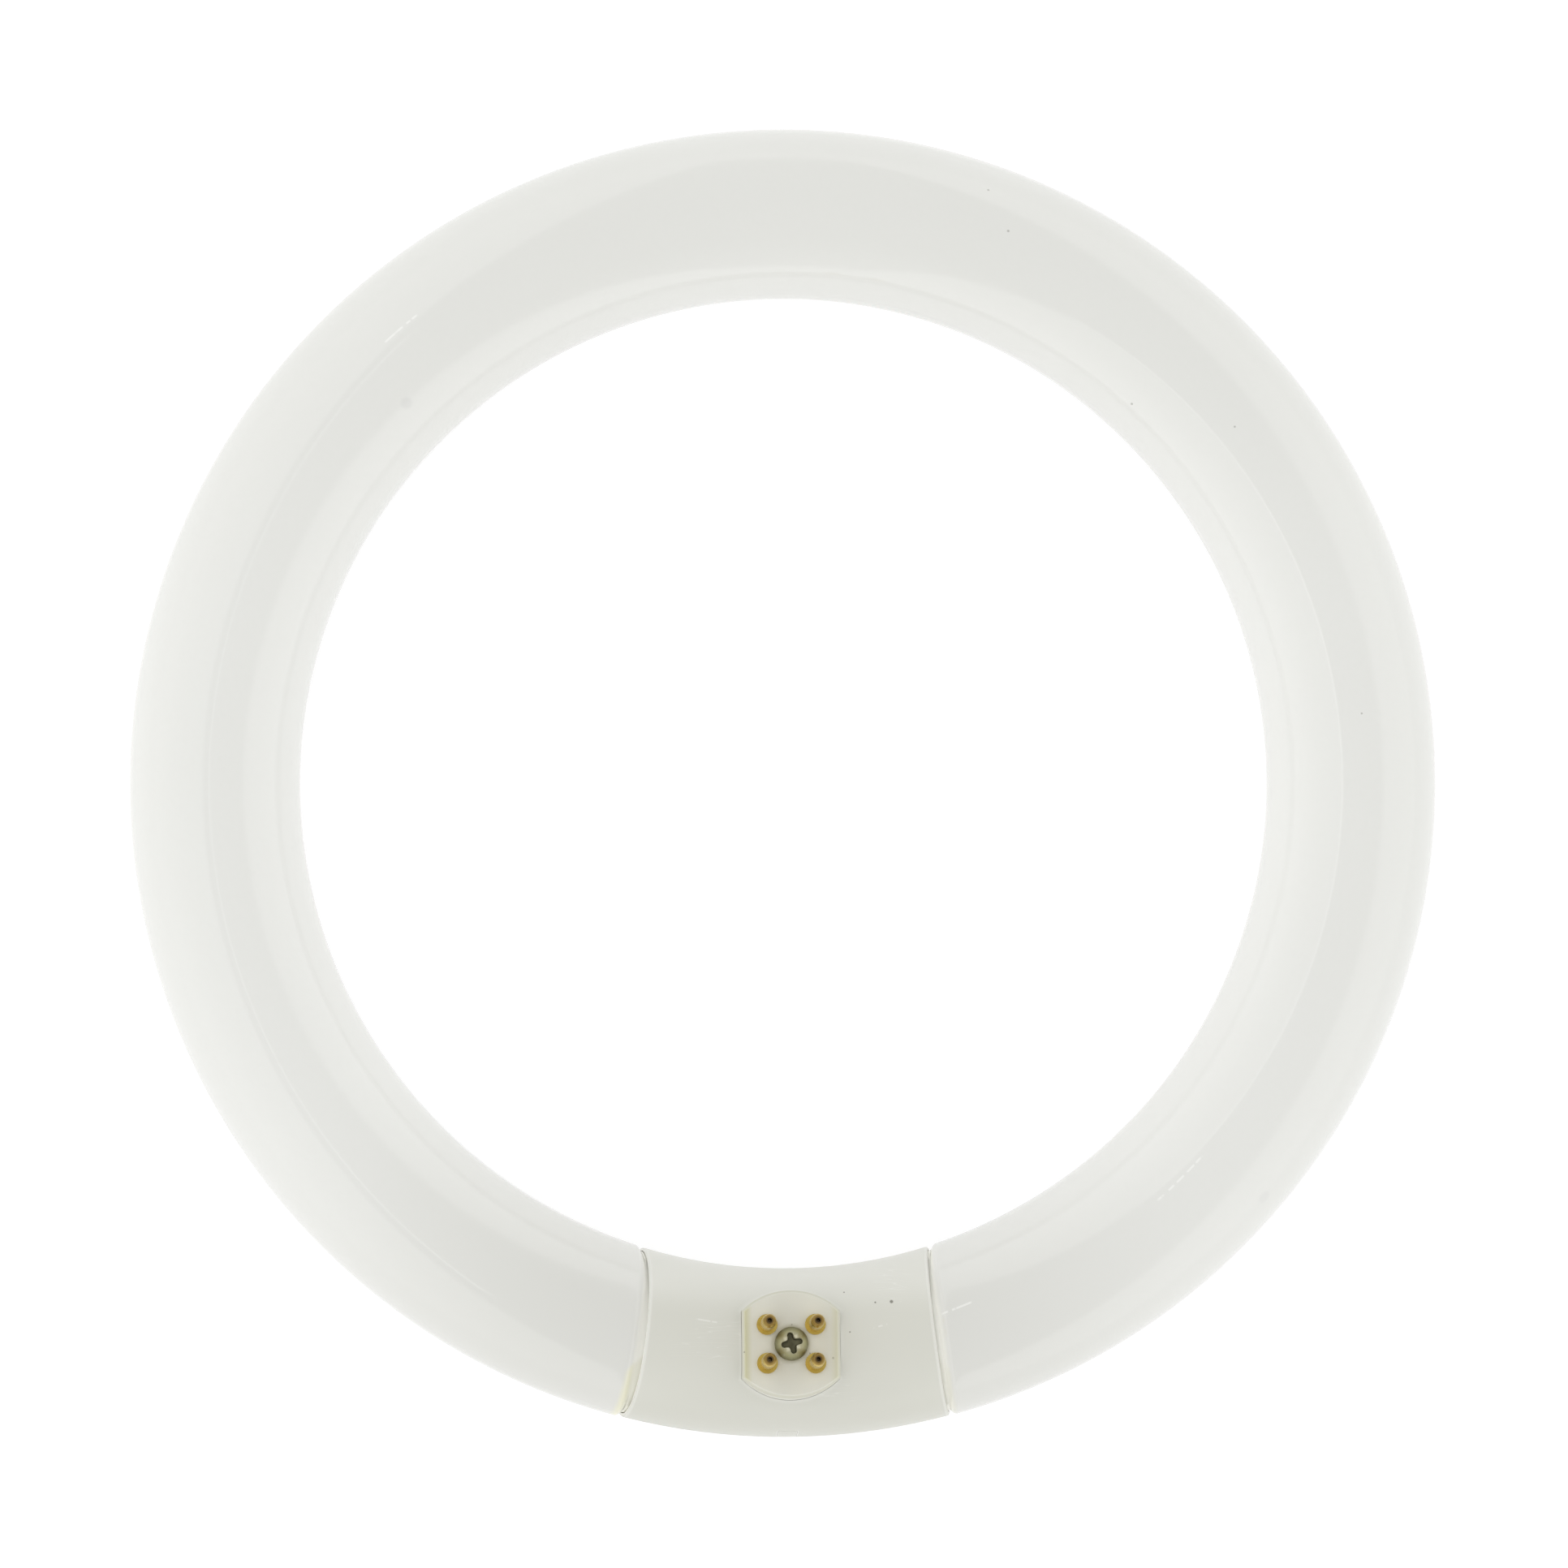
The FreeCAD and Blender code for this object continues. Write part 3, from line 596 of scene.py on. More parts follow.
# Marks on the shells. Hairlines run all over. The others are on the front, in millimetres along the
# cap and across it: dark specks with a radius, and light scratches from end to end.
HAIR_STRENGTH = 0.2
HAIR_DULLING = 0.5
SHELL_FRONT = (0.0, 2.0)
SHELL_SPECKS = ((16.65, 7.06, 0.26), (14.0, 6.96, 0.14), (9.0, 8.8, 0.11), (9.7, 2.0, 0.11))
SHELL_SPECK_EDGE = (1.5, 0.6, 0.85)
SHELL_SPECK_BROWN = (0.16, 0.15, 0.12)
SHELL_SCRATCHES = (((-15.7, 4.3), (-11.6, 3.6)), ((13.5, 2.6), (15.9, 3.3)))
SHELL_SCRATCH_WIDTH = 0.20
SHELL_SCRATCH_STRENGTH = 0.3


def shell_finish(settings):
    finish = Finish("cap_plastic")
    x, across, height = cap_place(finish)
    flat = finish.combine(x, across)
    pale = settings.shell_pale_and_light
    grain = finish.noise(finish.place, *SHELL_GRAIN)
    clouds = finish.noise(finish.place, *SHELL_CLOUDS)
    yellowed = finish.mix(YELLOW_SHARE, settings.shell, settings.insert)
    colour = finish.shift(settings.shell, yellowed, clouds, SHELL_YELLOW)
    # Painted light on the inner side and painted shade on the outer side.
    colour = finish.shift(colour, pale, across, SHELL_INNER_LIGHT)
    colour = finish.shift(colour, settings.shell_painted_shade, across, SHELL_OUTER_SHADE)
    # Painted light round the window, below the outer face and along the mouths.
    past_side = finish.less(finish.size(x), INSERT_HALF)
    across_arc = finish.plus(finish.size(across), INSERT_ARC_DROP)
    past_end = finish.less(finish.length(x, across_arc), INSERT_ARC)
    colour = finish.shift(colour, pale, finish.math("MAXIMUM", past_side, past_end), WINDOW_PAINTED_LIGHT)
    _, _, _, section = ring_places(finish)
    colour = finish.shift(colour, pale, section, SHELL_LIGHT_BELOW_FACE)
    for side in (-1, 1):
        colour = finish.shift(colour, pale, behind_mouth(finish, side), MOUTH_PAINTED_LIGHT)

    from_line = finish.size(finish.less(finish.size(x), TONGUE_HALF))
    line = finish.times(finish.fade(from_line, *TONGUE_LINE), finish.fade(across, *TONGUE_FACE))
    upright = finish.times(finish.fade(height, *TONGUE_FOOT), finish.fade(height, *TONGUE_HEAD))
    colour = finish.mix(finish.times(line, upright), colour, pale)

    hairs = finish.math("MAXIMUM", *(hairlines(finish, turn) for turn in HAIR_TURNS))
    colour = finish.mix(finish.times(hairs, HAIR_STRENGTH), colour, pale)
    front = finish.fade(height, *SHELL_FRONT)
    for start, end in SHELL_SCRATCHES:
        mark = finish.times(streak(finish, flat, start, end, SHELL_SCRATCH_WIDTH), front)
        colour = finish.mix(finish.times(mark, SHELL_SCRATCH_STRENGTH), colour, pale)
    for *where, radius in SHELL_SPECKS:
        mark = finish.times(spot(finish, flat, where, radius, *SHELL_SPECK_EDGE), front)
        colour = finish.mix(mark, colour, SHELL_SPECK_BROWN)
    worn = finish.plus(clouds, finish.times(hairs, HAIR_DULLING))
    return finish.surface(
        Base_Color=colour,
        Roughness=finish.fade(worn, *SHELL_ROUGH),
        Normal=finish.bump(finish.less(grain, hairs), *SHELL_BUMP),
        Specular_IOR_Level=SHELL_GLOSS,
    )


# The insert's plastic. It is mottled and yellower along its flat sides (each with a strength). Painted
# shade darkens the bevel, painted light makes it paler at the bevel's foot (in heights along the pins),
# and painted shade darkens it round the screw.
INSERT_CLOUDS = (190.0, 3.0)
INSERT_GRAIN = (3200.0, 2.0)
INSERT_MOTTLE = (0.35, 0.7, 0.0, 0.5)
YELLOW_SIDES = ((-1.0, 0.85), (1.0, 0.5))
YELLOW_SIDE_REACH = (6.2, 7.5)
BEVEL_SHADE_REACH = (FACE - 0.02, FACE - 0.30)
INSERT_WALL_LIGHT = (FACE - 0.7, FACE - 2.2, 0.0, 0.3)
SCREW_SHADOW_REACH = (3.6, 2.6)
SCREW_SHADOW_CLOUDS = (0.3, 0.7, 0.3, 0.65)
SCREW_SHADOW_OLIVE = (0.38, 0.345, 0.19)
INSERT_ROUGH = (0.3, 0.8, 0.42, 0.58)
INSERT_BUMP = (0.14, 0.00008)
INSERT_GLOSS = 0.45

# Dark specks on the insert, as on the front shell.
INSERT_SPECKS = ((0.12, 3.17, 0.11), (-7.7, -1.3, 0.13), (3.04, -1.55, 0.11))
INSERT_SPECK_EDGE = (1.5, 0.5, 0.7)
INSERT_DUST = (420.0, (0.10, 0.05), (0.80, 0.82, 0.0, 0.45))
SPECK_DARK = (0.22, 0.20, 0.13)


def insert_finish(settings):
    finish = Finish("insert_plastic")
    x, across, height = cap_place(finish)
    flat = finish.combine(x, across)
    clouds = finish.noise(finish.place, *INSERT_CLOUDS)
    grain = finish.noise(finish.place, *INSERT_GRAIN)
    colour = finish.shift(settings.insert, settings.shell, clouds, INSERT_MOTTLE)
    # Yellower along the flat sides, more on one side than the other.
    for side, strength in YELLOW_SIDES:
        yellow_side = (*YELLOW_SIDE_REACH, 0.0, strength)
        colour = finish.shift(colour, settings.insert_edge, finish.times(x, side), yellow_side)
    # Painted shade on the bevel, and painted light on the insert's walls below it.
    colour = finish.shift(colour, settings.insert_bevel_shade, height, BEVEL_SHADE_REACH)
    colour = finish.shift(colour, settings.shell_pale_and_light, height, INSERT_WALL_LIGHT)
    # Painted shade: an olive shadow round the screw's head.
    near_screw = finish.fade(finish.length(x, across), *SCREW_SHADOW_REACH)
    screw_shadow = finish.times(near_screw, finish.fade(clouds, *SCREW_SHADOW_CLOUDS))
    colour = finish.mix(screw_shadow, colour, SCREW_SHADOW_OLIVE)
    colour = finish.mix(dust(finish, finish.place, *INSERT_DUST), colour, SPECK_DARK)
    for *where, radius in INSERT_SPECKS:
        colour = finish.mix(spot(finish, flat, where, radius, *INSERT_SPECK_EDGE), colour, SPECK_DARK)
    return finish.surface(
        Base_Color=colour,
        Roughness=finish.fade(clouds, *INSERT_ROUGH),
        Normal=finish.bump(grain, *INSERT_BUMP),
        Specular_IOR_Level=INSERT_GLOSS,
    )


# The pins' brass. Tarnish sits at the ends, which blotches make uneven, and at the feet (in heights
# along the pins). Painted shade runs round the end of the bore and down inside it (in millimetres from
# its axis), widening the dark of the hole.
PIN_BLOTCHES = (900.0, 4.0)
PIN_TURNING = (200.0, 200.0, 9000.0)
TIP_UNEVEN = 0.5
TIP_TARNISH = (21.4, 22.0, 0.0, 0.75)
FOOT_TARNISH = (15.3, 14.7, 0.0, 0.2)
BLOTCH_TARNISH = (0.55, 0.80, 0.0, 0.45)
HOLE_SHADE_REACH = (0.68, 0.48, 0.0, 0.8)
HOLE_SHADE_HEIGHT = (21.0, 21.6)
HOLE_SHADE_BROWN = (0.085, 0.055, 0.03)
BORE_SHADE_REACH = (0.42, 0.38)
BORE_SHADE = (0.24, 0.18, 0.10)
TURNING_DULLING = 0.3
PIN_ROUGH = (0.0, 1.3, 0.26, 0.6)
PIN_BUMP = (0.10, 0.00004)


def pin_finish(settings):
    finish = Finish("pin_brass")
    x, across, height = cap_place(finish)
    aside = [finish.less(finish.size(place), half) for place, half in zip((x, across), PIN_PLACE)]
    radius = finish.length(*aside)
    blotches = finish.noise(finish.place, *PIN_BLOTCHES)
    turning = finish.drawn_noise(finish.place, PIN_TURNING)
    tip = finish.fade(finish.plus(height, finish.times(blotches, TIP_UNEVEN)), *TIP_TARNISH)
    foot = finish.fade(height, *FOOT_TARNISH)
    worn = finish.fade(blotches, *BLOTCH_TARNISH)
    dull = finish.math("MAXIMUM", finish.math("MAXIMUM", tip, foot), worn)
    colour = finish.mix(dull, settings.brass, settings.tarnish)
    # Painted shade round the end of the bore widens the dark of the hole.
    hole_shade = finish.times(finish.fade(radius, *HOLE_SHADE_REACH), finish.fade(height, *HOLE_SHADE_HEIGHT))
    colour = finish.mix(hole_shade, colour, HOLE_SHADE_BROWN)
    # Painted shade darkens the inside of the bore.
    colour = finish.shift(colour, BORE_SHADE, radius, BORE_SHADE_REACH)
    rough = finish.plus(dull, finish.times(turning, TURNING_DULLING))
    return finish.surface(
        Base_Color=colour,
        Metallic=1.0,
        Roughness=finish.fade(rough, *PIN_ROUGH),
        Normal=finish.bump(turning, *PIN_BUMP),
    )


# The screw's plating. It is rubbed bright in blotches. Painted highlight lightens it round the recess,
# and painted shade darkens it down in the recess (in heights along the pins) and at the rim (in
# millimetres from the screw's axis). Painted glints light the four corners between the recess's arms,
# with one fade for the lesser distance from the middles of the arms and one for the greater.
SCREW_BLOTCHES = (1100.0, 4.0)
SCREW_TURNING = (300.0, 300.0, 7000.0)
BLOTCH_WORN = (0.50, 0.75, 0.0, 0.6)
HEAD_PAINTED_HIGHLIGHT = (2.15, 1.5, 0.0, 0.55)
RECESS_PAINTED_SHADE = (16.3, 15.6, 0.0, 0.85)
RECESS_WITHIN = (1.95, 1.75)
RIM_PAINTED_SHADE = (2.0, 2.7, 0.0, 0.4)
SCREW_PAINTED_SHADE = (0.10, 0.095, 0.055)
CORNER_NEAR = (0.52, 0.68)
CORNER_FAR = (1.35, 0.95)
CORNER_STRENGTH = 0.55
CORNER_GLINT = (0.84, 0.82, 0.68)
SCREW_ROUGH = (0.3, 0.8, 0.56, 0.70)
SCREW_BUMP = (0.16, 0.00005)


def screw_finish(settings):
    finish = Finish("plated_steel")
    x, across, height = cap_place(finish)
    radius = finish.length(x, across)
    blotches = finish.noise(finish.place, *SCREW_BLOTCHES)
    turning = finish.drawn_noise(finish.place, SCREW_TURNING)
    colour = finish.shift(settings.plating, settings.worn_plating_and_highlight, blotches, BLOTCH_WORN)
    # Painted highlight: a lighter ring round the recess.
    colour = finish.shift(colour, settings.worn_plating_and_highlight, radius, HEAD_PAINTED_HIGHLIGHT)
    # Painted shade down in the recess and at the rim.
    recess_shade = finish.times(finish.fade(height, *RECESS_PAINTED_SHADE), finish.fade(radius, *RECESS_WITHIN))
    dark = finish.math("MAXIMUM", recess_shade, finish.fade(radius, *RIM_PAINTED_SHADE))
    colour = finish.mix(dark, colour, SCREW_PAINTED_SHADE)
    turned = finish.parts(finish.mapped(finish.combine(x, across), -RECESS_TURN))
    sides = [finish.size(turned[axis]) for axis in ("X", "Y")]
    corner = finish.times(
        finish.fade(finish.math("MINIMUM", *sides), *CORNER_NEAR),
        finish.fade(finish.math("MAXIMUM", *sides), *CORNER_FAR),
    )
    colour = finish.mix(finish.times(corner, CORNER_STRENGTH), colour, CORNER_GLINT)
    return finish.surface(
        Base_Color=colour,
        Metallic=1.0,
        Roughness=finish.fade(blotches, *SCREW_ROUGH),
        Normal=finish.bump(finish.plus(blotches, turning), *SCREW_BUMP),
    )


# The leads, dulled in blotches and darkened with painted shade inside the pins' bores, and the weave
# of their sleeves.
LEAD_BLOTCHES = (2400.0, 3.0)
LEAD_DULL = (0.4, 0.8)
LEAD_SHADE_IN_BORE = (17.0, 19.0)
LEAD_ROUGH = (0.3, 0.8, 0.35, 0.6)
LEAD_BUMP = (0.1, 0.00004)
WEAVE = 3600.0
WEAVE_GAP = (0.2, 0.7)
WEAVE_GAP_BROWN = (0.42, 0.40, 0.33)
WEAVE_ROUGH = (0.1, 0.8, 0.55, 0.8)
WEAVE_BUMP = (0.4, 0.0001)


def lead_finish(settings):
    finish = Finish("lead_metal")
    blotches = finish.noise(finish.place, *LEAD_BLOTCHES)
    colour = finish.shift(settings.lead, settings.tarnish, blotches, LEAD_DULL)
    _, _, height = cap_place(finish)
    # Painted shade darkens the leads inside the pins' bores.
    colour = finish.shift(colour, BORE_SHADE, height, LEAD_SHADE_IN_BORE)
    return finish.surface(
        Base_Color=colour,
        Metallic=1.0,
        Roughness=finish.fade(blotches, *LEAD_ROUGH),
        Normal=finish.bump(blotches, *LEAD_BUMP),
    )


def sleeve_finish(settings):
    finish = Finish("sleeve_plastic")
    weave, _ = finish.cells(finish.place, WEAVE)
    return finish.surface(
        Base_Color=finish.shift(settings.sleeve, WEAVE_GAP_BROWN, weave, WEAVE_GAP),
        Roughness=finish.fade(weave, *WEAVE_ROUGH),
        Normal=finish.bump(weave, *WEAVE_BUMP),
    )


def dress(material, *names):
    """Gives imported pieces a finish"""
    for name in names:
        mesh = frame["nodes"][name].data
        mesh.materials.clear()
        mesh.materials.append(material)


def skin(name, rows):
    """One closed skin over rows of points in millimetres, all with the same number of points"""
    sides = len(rows[0])
    points = np.concatenate(rows) * MM
    faces = []
    for base in range(0, len(points) - sides, sides):
        for side in range(sides):
            after = (side + 1) % sides
            faces.append((base + side, base + after, base + sides + after, base + sides + side))
    faces.append(tuple(reversed(range(sides))))
    faces.append(tuple(range(len(points) - sides, len(points))))
    mesh = bpy.data.meshes.new(name)
    mesh.from_pydata([tuple(point) for point in points], [], faces)
    work = bmesh.new()
    work.from_mesh(mesh)
    bmesh.ops.recalc_face_normals(work, faces=work.faces)
    work.to_mesh(mesh)
    work.free()
    mesh.polygons.foreach_set("use_smooth", np.ones(len(mesh.polygons), bool))
    mesh.set_sharp_from_angle(angle=SHARP_ANGLE)
    return mesh


def place_piece(context, mesh, body, node):
    """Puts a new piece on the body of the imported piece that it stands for"""
    piece = bpy.data.objects.new(mesh.name, mesh)
    context.scene.collection.objects.link(piece)
    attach(piece, body)
    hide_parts(node)


def round_angles(sides):
    return np.linspace(0, 2 * math.pi, sides, endpoint=False)


# The glass ring, one closed skin from the sealed tip in one neck round to the other.
def torus_points(section, turn, roll):
    reach = RING + section * np.cos(roll)
    height = TUBE + section * np.sin(roll)
    return np.stack([reach * np.sin(turn), -reach * np.cos(turn), height], axis=-1)


def mouth_row(section, distance, roll):
    """Turns at which one section of the tube lies at a set distance outside the right mouth"""
    low = np.zeros(roll.shape)
    high = np.full(roll.shape, WIDEST_TURN)
    for _ in range(HALVINGS):
        middle = (low + high) / 2
        inside = (torus_points(section, middle, roll) - MOUTH_POINT) @ MOUTH_NORMAL < distance
        low = np.where(inside, middle, low)
        high = np.where(inside, high, middle)
    return low


def swivel_room(roll):
    """How far the cap's right rim comes out past its mouth as the cap swivels, round the tube"""
    rim = torus_points(SHELL, mouth_row(SHELL, 0.0, roll), roll)
    room = np.zeros(roll.shape)
    for angle in SWIVEL["range_deg"]:
        turn = np.array(Matrix.Rotation(math.radians(angle), 3, "X"))
        normal = turn @ MOUTH_NORMAL
        point = turn @ (MOUTH_POINT - SWIVEL_POINT) + SWIVEL_POINT
        room = np.maximum(room, (point - rim) @ normal / (normal @ MOUTH_NORMAL))
    return room


def neck_row(radius, depth, roll):
    """A ring round the neck's own axis, at a depth into the neck from its end"""
    outward = np.array([math.sin(NECK_TURN), -math.cos(NECK_TURN), 0.0])
    along = np.array([math.cos(NECK_TURN), math.sin(NECK_TURN), 0.0])
    up = np.array([0.0, 0.0, 1.0])
    centre = RING * outward + TUBE * up + along * depth
    return centre + radius * (np.cos(roll)[:, None] * outward + np.sin(roll)[:, None] * up)


def neck_rows(roll):
    """Rows of the right neck, from the sealed tip inside its flare out over its rounded end"""
    rows = [neck_row(TIP_POINT * share, FLARE_DEPTH - TIP_LENGTH, roll) for share in TIP_SHARES]
    rows += [neck_row(TIP_BASE, FLARE_DEPTH - foot, roll) for foot in (TIP_FOOT, 0.0)]
    rows += [neck_row(FLARE_FLOOR * share, FLARE_DEPTH, roll) for share in FLOOR_SHARES]
    rows.append(neck_row(FLARE_MOUTH, 0.0, roll))
    for step in np.linspace(0, math.pi / 2, NECK_ROWS)[:-1]:
        radius = NECK - NECK_ROUND * (1 - math.sin(step))
        rows.append(neck_row(radius, NECK_ROUND * (1 - math.cos(step)), roll))
    rows.append(torus_points(NECK, NECK_TURN + NECK_ROUND / RING, roll))
    return rows


def shoulder_rows(roll):
    """Rows of the right shoulder, from the neck up to the full tube, and the turns where they end"""
    rows = []
    for depth in (NECK_WAIST, STEP_DEPTH):
        rows.append(torus_points(NECK, mouth_row(NECK, -depth, roll), roll))
    upright = np.abs(np.sin(roll))
    floor = LIP - LIP_SWING * upright - LIP_GAP
    for step in np.linspace(0, math.pi / 2, STEP_ROWS):
        section = floor - STEP_ROUND * (1 - math.sin(step))
        distance = -STEP_DEPTH + STEP_ROUND * (1 - math.cos(step))
        rows.append(torus_points(section, mouth_row(section, distance, roll), roll))
    start = SEAM_GAP + swivel_room(roll)
    slope = SLOPE_SIDE + (SLOPE_TOP - SLOPE_SIDE) * upright
    for share in np.linspace(0, 1, SLOPE_ROWS):
        rolled = 1 - (1 - share) ** 2
        soft = share**2 * (3 - 2 * share)
        section = floor + (TUBE - floor) * (rolled + (soft - rolled) * upright)
        turn = mouth_row(section, start + slope * share, roll)
        rows.append(torus_points(section, turn, roll))
    return rows, turn


def glass_mesh():
    roll = round_angles(GLASS_SIDES)
    shoulder, start = shoulder_rows(roll)
    right = neck_rows(roll) + shoulder
    shares = np.linspace(0, 1, GLASS_ROWS)[1:-1]
    body = [torus_points(TUBE, start + (2 * math.pi - 2 * start) * share, roll) for share in shares]
    left = [row * (-1.0, 1.0, 1.0) for row in reversed(right)]
    return skin("glass_ring", right + body + left)


# The cap screw, a skin from the bottom of its recess over the head and down the thread.
def cap_points(x, across, height):
    lean, rise = math.sin(CAP_LEAN), math.cos(CAP_LEAN)
    back = -RING + across * rise + height * lean
    return np.stack([x, back, TUBE - across * lean + height * rise], axis=-1)


def head_level(radius):
    """Height of the pan head over the insert's face, flat and then an arc

    The arc's radius is its own chord, so its centre makes an equal-sided triangle with its ends.
    """
    rise, run = HEAD_HEIGHT - HEAD_RIM, HEAD - HEAD_FLAT
    bend = math.hypot(rise, run)
    back = bend * math.sqrt(0.75)
    centre_out = (HEAD + HEAD_FLAT) / 2 - back * rise / bend
    centre_up = (HEAD_HEIGHT + HEAD_RIM) / 2 - back * run / bend
    dome = centre_up + math.sqrt(max(bend**2 - (radius - centre_out) ** 2, 0.0))
    return HEAD_HEIGHT if radius < HEAD_FLAT else dome


def recess_depth(radius, angle):
    """Depth of the cross recess: four round-ended arms with sloped walls and softened corners"""
    along, aside = radius * np.cos(angle), radius * np.sin(angle)
    reach = RECESS_REACH - RECESS_HALF
    arms = [
        np.hypot(np.maximum(np.abs(first) - reach, 0.0), second) - RECESS_HALF
        for first, second in ((along, aside), (aside, along))
    ]
    edge = -RECESS_BLEND * np.log(sum(np.exp(-arm / RECESS_BLEND) for arm in arms))
    wall = np.clip(-edge / RECESS_SLOPE, 0.0, 1.0)
    return RECESS_DEPTH * (1 - RECESS_RISE * radius / RECESS_REACH) * wall**2 * (3 - 2 * wall)


def thread_row(level, angle):
    phase = (level / THREAD_PITCH - angle / (2 * math.pi)) % 1.0
    return SHANK - THREAD_DEPTH * np.abs(2 * phase - 1)


def screw_mesh():
    angle = round_angles(SCREW_SIDES)

    def row(radius, level):
        radius = np.broadcast_to(radius, angle.shape)
        turned = angle + RECESS_TURN
        return cap_points(radius * np.cos(turned), radius * np.sin(turned), FACE + level)

    rows = []
    for radius in (*RECESS_RADII, *CROWN_RADII):
        rows.append(row(radius, head_level(radius) - recess_depth(radius, angle)))
    rows += [row(HEAD, HEAD_BREAK), row(HEAD - HEAD_BREAK, 0.0), row(SHANK + SHANK_FILLET, 0.0)]
    tip = SCREW_POINT - SCREW_LENGTH
    for level in np.arange(THREAD_START, tip, -THREAD_PITCH / ROWS_A_TURN):
        rows.append(row(thread_row(level, angle), level))
    for share in POINT_SHARES:
        rows.append(row((SHANK - THREAD_DEPTH) * (1 - share), tip - SCREW_POINT * share))
    return skin("screw", rows)


class LAMP_OT_glass(bpy.types.Operator):
    """Build the coated glass ring with its shoulders and necks"""

    bl_idname = "lamp.glass"
    bl_label = "Glass ring"

    def execute(self, context):
        mesh = glass_mesh()
        mesh.materials.append(glass_finish(context.scene.lamp_glass))
        place_piece(context, mesh, "tube", "glass_tube")
        return {"FINISHED"}


class LAMP_OT_shells(bpy.types.Operator):
    """Finish the two moulded shells of the cap"""

    bl_idname = "lamp.shells"
    bl_label = "Cap shells"

    def execute(self, context):
        dress(shell_finish(context.scene.lamp_cap), "front_shell", "rear_shell")
        return {"FINISHED"}


class LAMP_OT_insert(bpy.types.Operator):
    """Finish the moulded block that holds the pins"""

    bl_idname = "lamp.insert"
    bl_label = "Pin insert"

    def execute(self, context):
        dress(insert_finish(context.scene.lamp_cap), "pin_insert")
        return {"FINISHED"}


class LAMP_OT_pins(bpy.types.Operator):
    """Finish the four hollow contact pins"""

    bl_idname = "lamp.pins"
    bl_label = "Contact pins"

    def execute(self, context):
        dress(pin_finish(context.scene.lamp_metal), *(f"contact_pin_{k}" for k in PIN_NUMBERS))
        return {"FINISHED"}


class LAMP_OT_screw(bpy.types.Operator):
    """Build the screw that holds the cap together"""

    bl_idname = "lamp.screw"
    bl_label = "Cap screw"

    def execute(self, context):
        mesh = screw_mesh()
        mesh.materials.append(screw_finish(context.scene.lamp_metal))
        place_piece(context, mesh, "cap", "cap_screw")
        return {"FINISHED"}


class LAMP_OT_leads(bpy.types.Operator):
    """Finish the lead wires and their sleeves inside the cap"""

    bl_idname = "lamp.leads"
    bl_label = "Leads and sleeves"

    def execute(self, context):
        dress(lead_finish(context.scene.lamp_metal), *(f"lead_wire_{k}" for k in PIN_NUMBERS))
        dress(sleeve_finish(context.scene.lamp_metal), *(f"wire_sleeve_{k}" for k in PIN_NUMBERS))
        return {"FINISHED"}


# The floor, in metres: half its side and how far it lies below the ring, with the paint that lights
# the ring, and the shade and glow that the eye sees.
FLOOR_HALF = 6.0
FLOOR_DROP = 0.0002
FLOOR_PAINT = (0.92, 0.92, 0.92, 1.0)
FLOOR_SHADE = (0.32, 0.32, 0.32, 1.0)
FLOOR_GLOW = 0.78


def white_to_the_eye(nodes, plain, white):
    """Shows one shader to light and another to the camera, reflections and glass"""
    path = nodes.node("ShaderNodeLightPath").outputs
    through = nodes.math("MAXIMUM", path["Is Transmission Ray"], path["Is Glossy Ray"])
    seen = nodes.math("MAXIMUM", path["Is Camera Ray"], through)
    return nodes.node("ShaderNodeMixShader", seen, plain, white).outputs[0]


def make_floor(scene):
    mesh = bpy.data.meshes.new("floor")
    work = bmesh.new()
    bmesh.ops.create_grid(work, x_segments=1, y_segments=1, size=FLOOR_HALF)
    work.to_mesh(mesh)
    work.free()
    floor = bpy.data.objects.new("floor", mesh)
    scene.collection.objects.link(floor)
    floor.location.z = -FLOOR_DROP
    material = bpy.data.materials.new("floor_paint")
    material.use_nodes = True
    material.node_tree.nodes.clear()
    nodes = Nodes(material.node_tree)
    paint = nodes.node("ShaderNodeBsdfDiffuse", FLOOR_PAINT).outputs[0]
    shade = nodes.node("ShaderNodeBsdfDiffuse", FLOOR_SHADE).outputs[0]
    glow = nodes.fill(nodes.node("ShaderNodeEmission"), Strength=FLOOR_GLOW).outputs[0]
    white = nodes.node("ShaderNodeAddShader", shade, glow).outputs[0]
    nodes.node("ShaderNodeOutputMaterial", white_to_the_eye(nodes, paint, white))
    mesh.materials.append(material)


# The dim stretch of ceiling, in degrees from straight up towards +X: each edge from bright to dim.
CEILING_WEST = (-20.0, -15.0)
CEILING_EAST = (43.0, 33.0)

# The sines of the heights over the horizon between which it fades into the walls.
CEILING_LOW = (0.12, 0.3)

# How much brighter the walls are towards +X, +Y and +Z, and the tone of the whole room.
WALL_TILT = (0.05, -0.04, 0.0)
ROOM_WHITE = (1.0, 1.0, 0.995, 1.0)


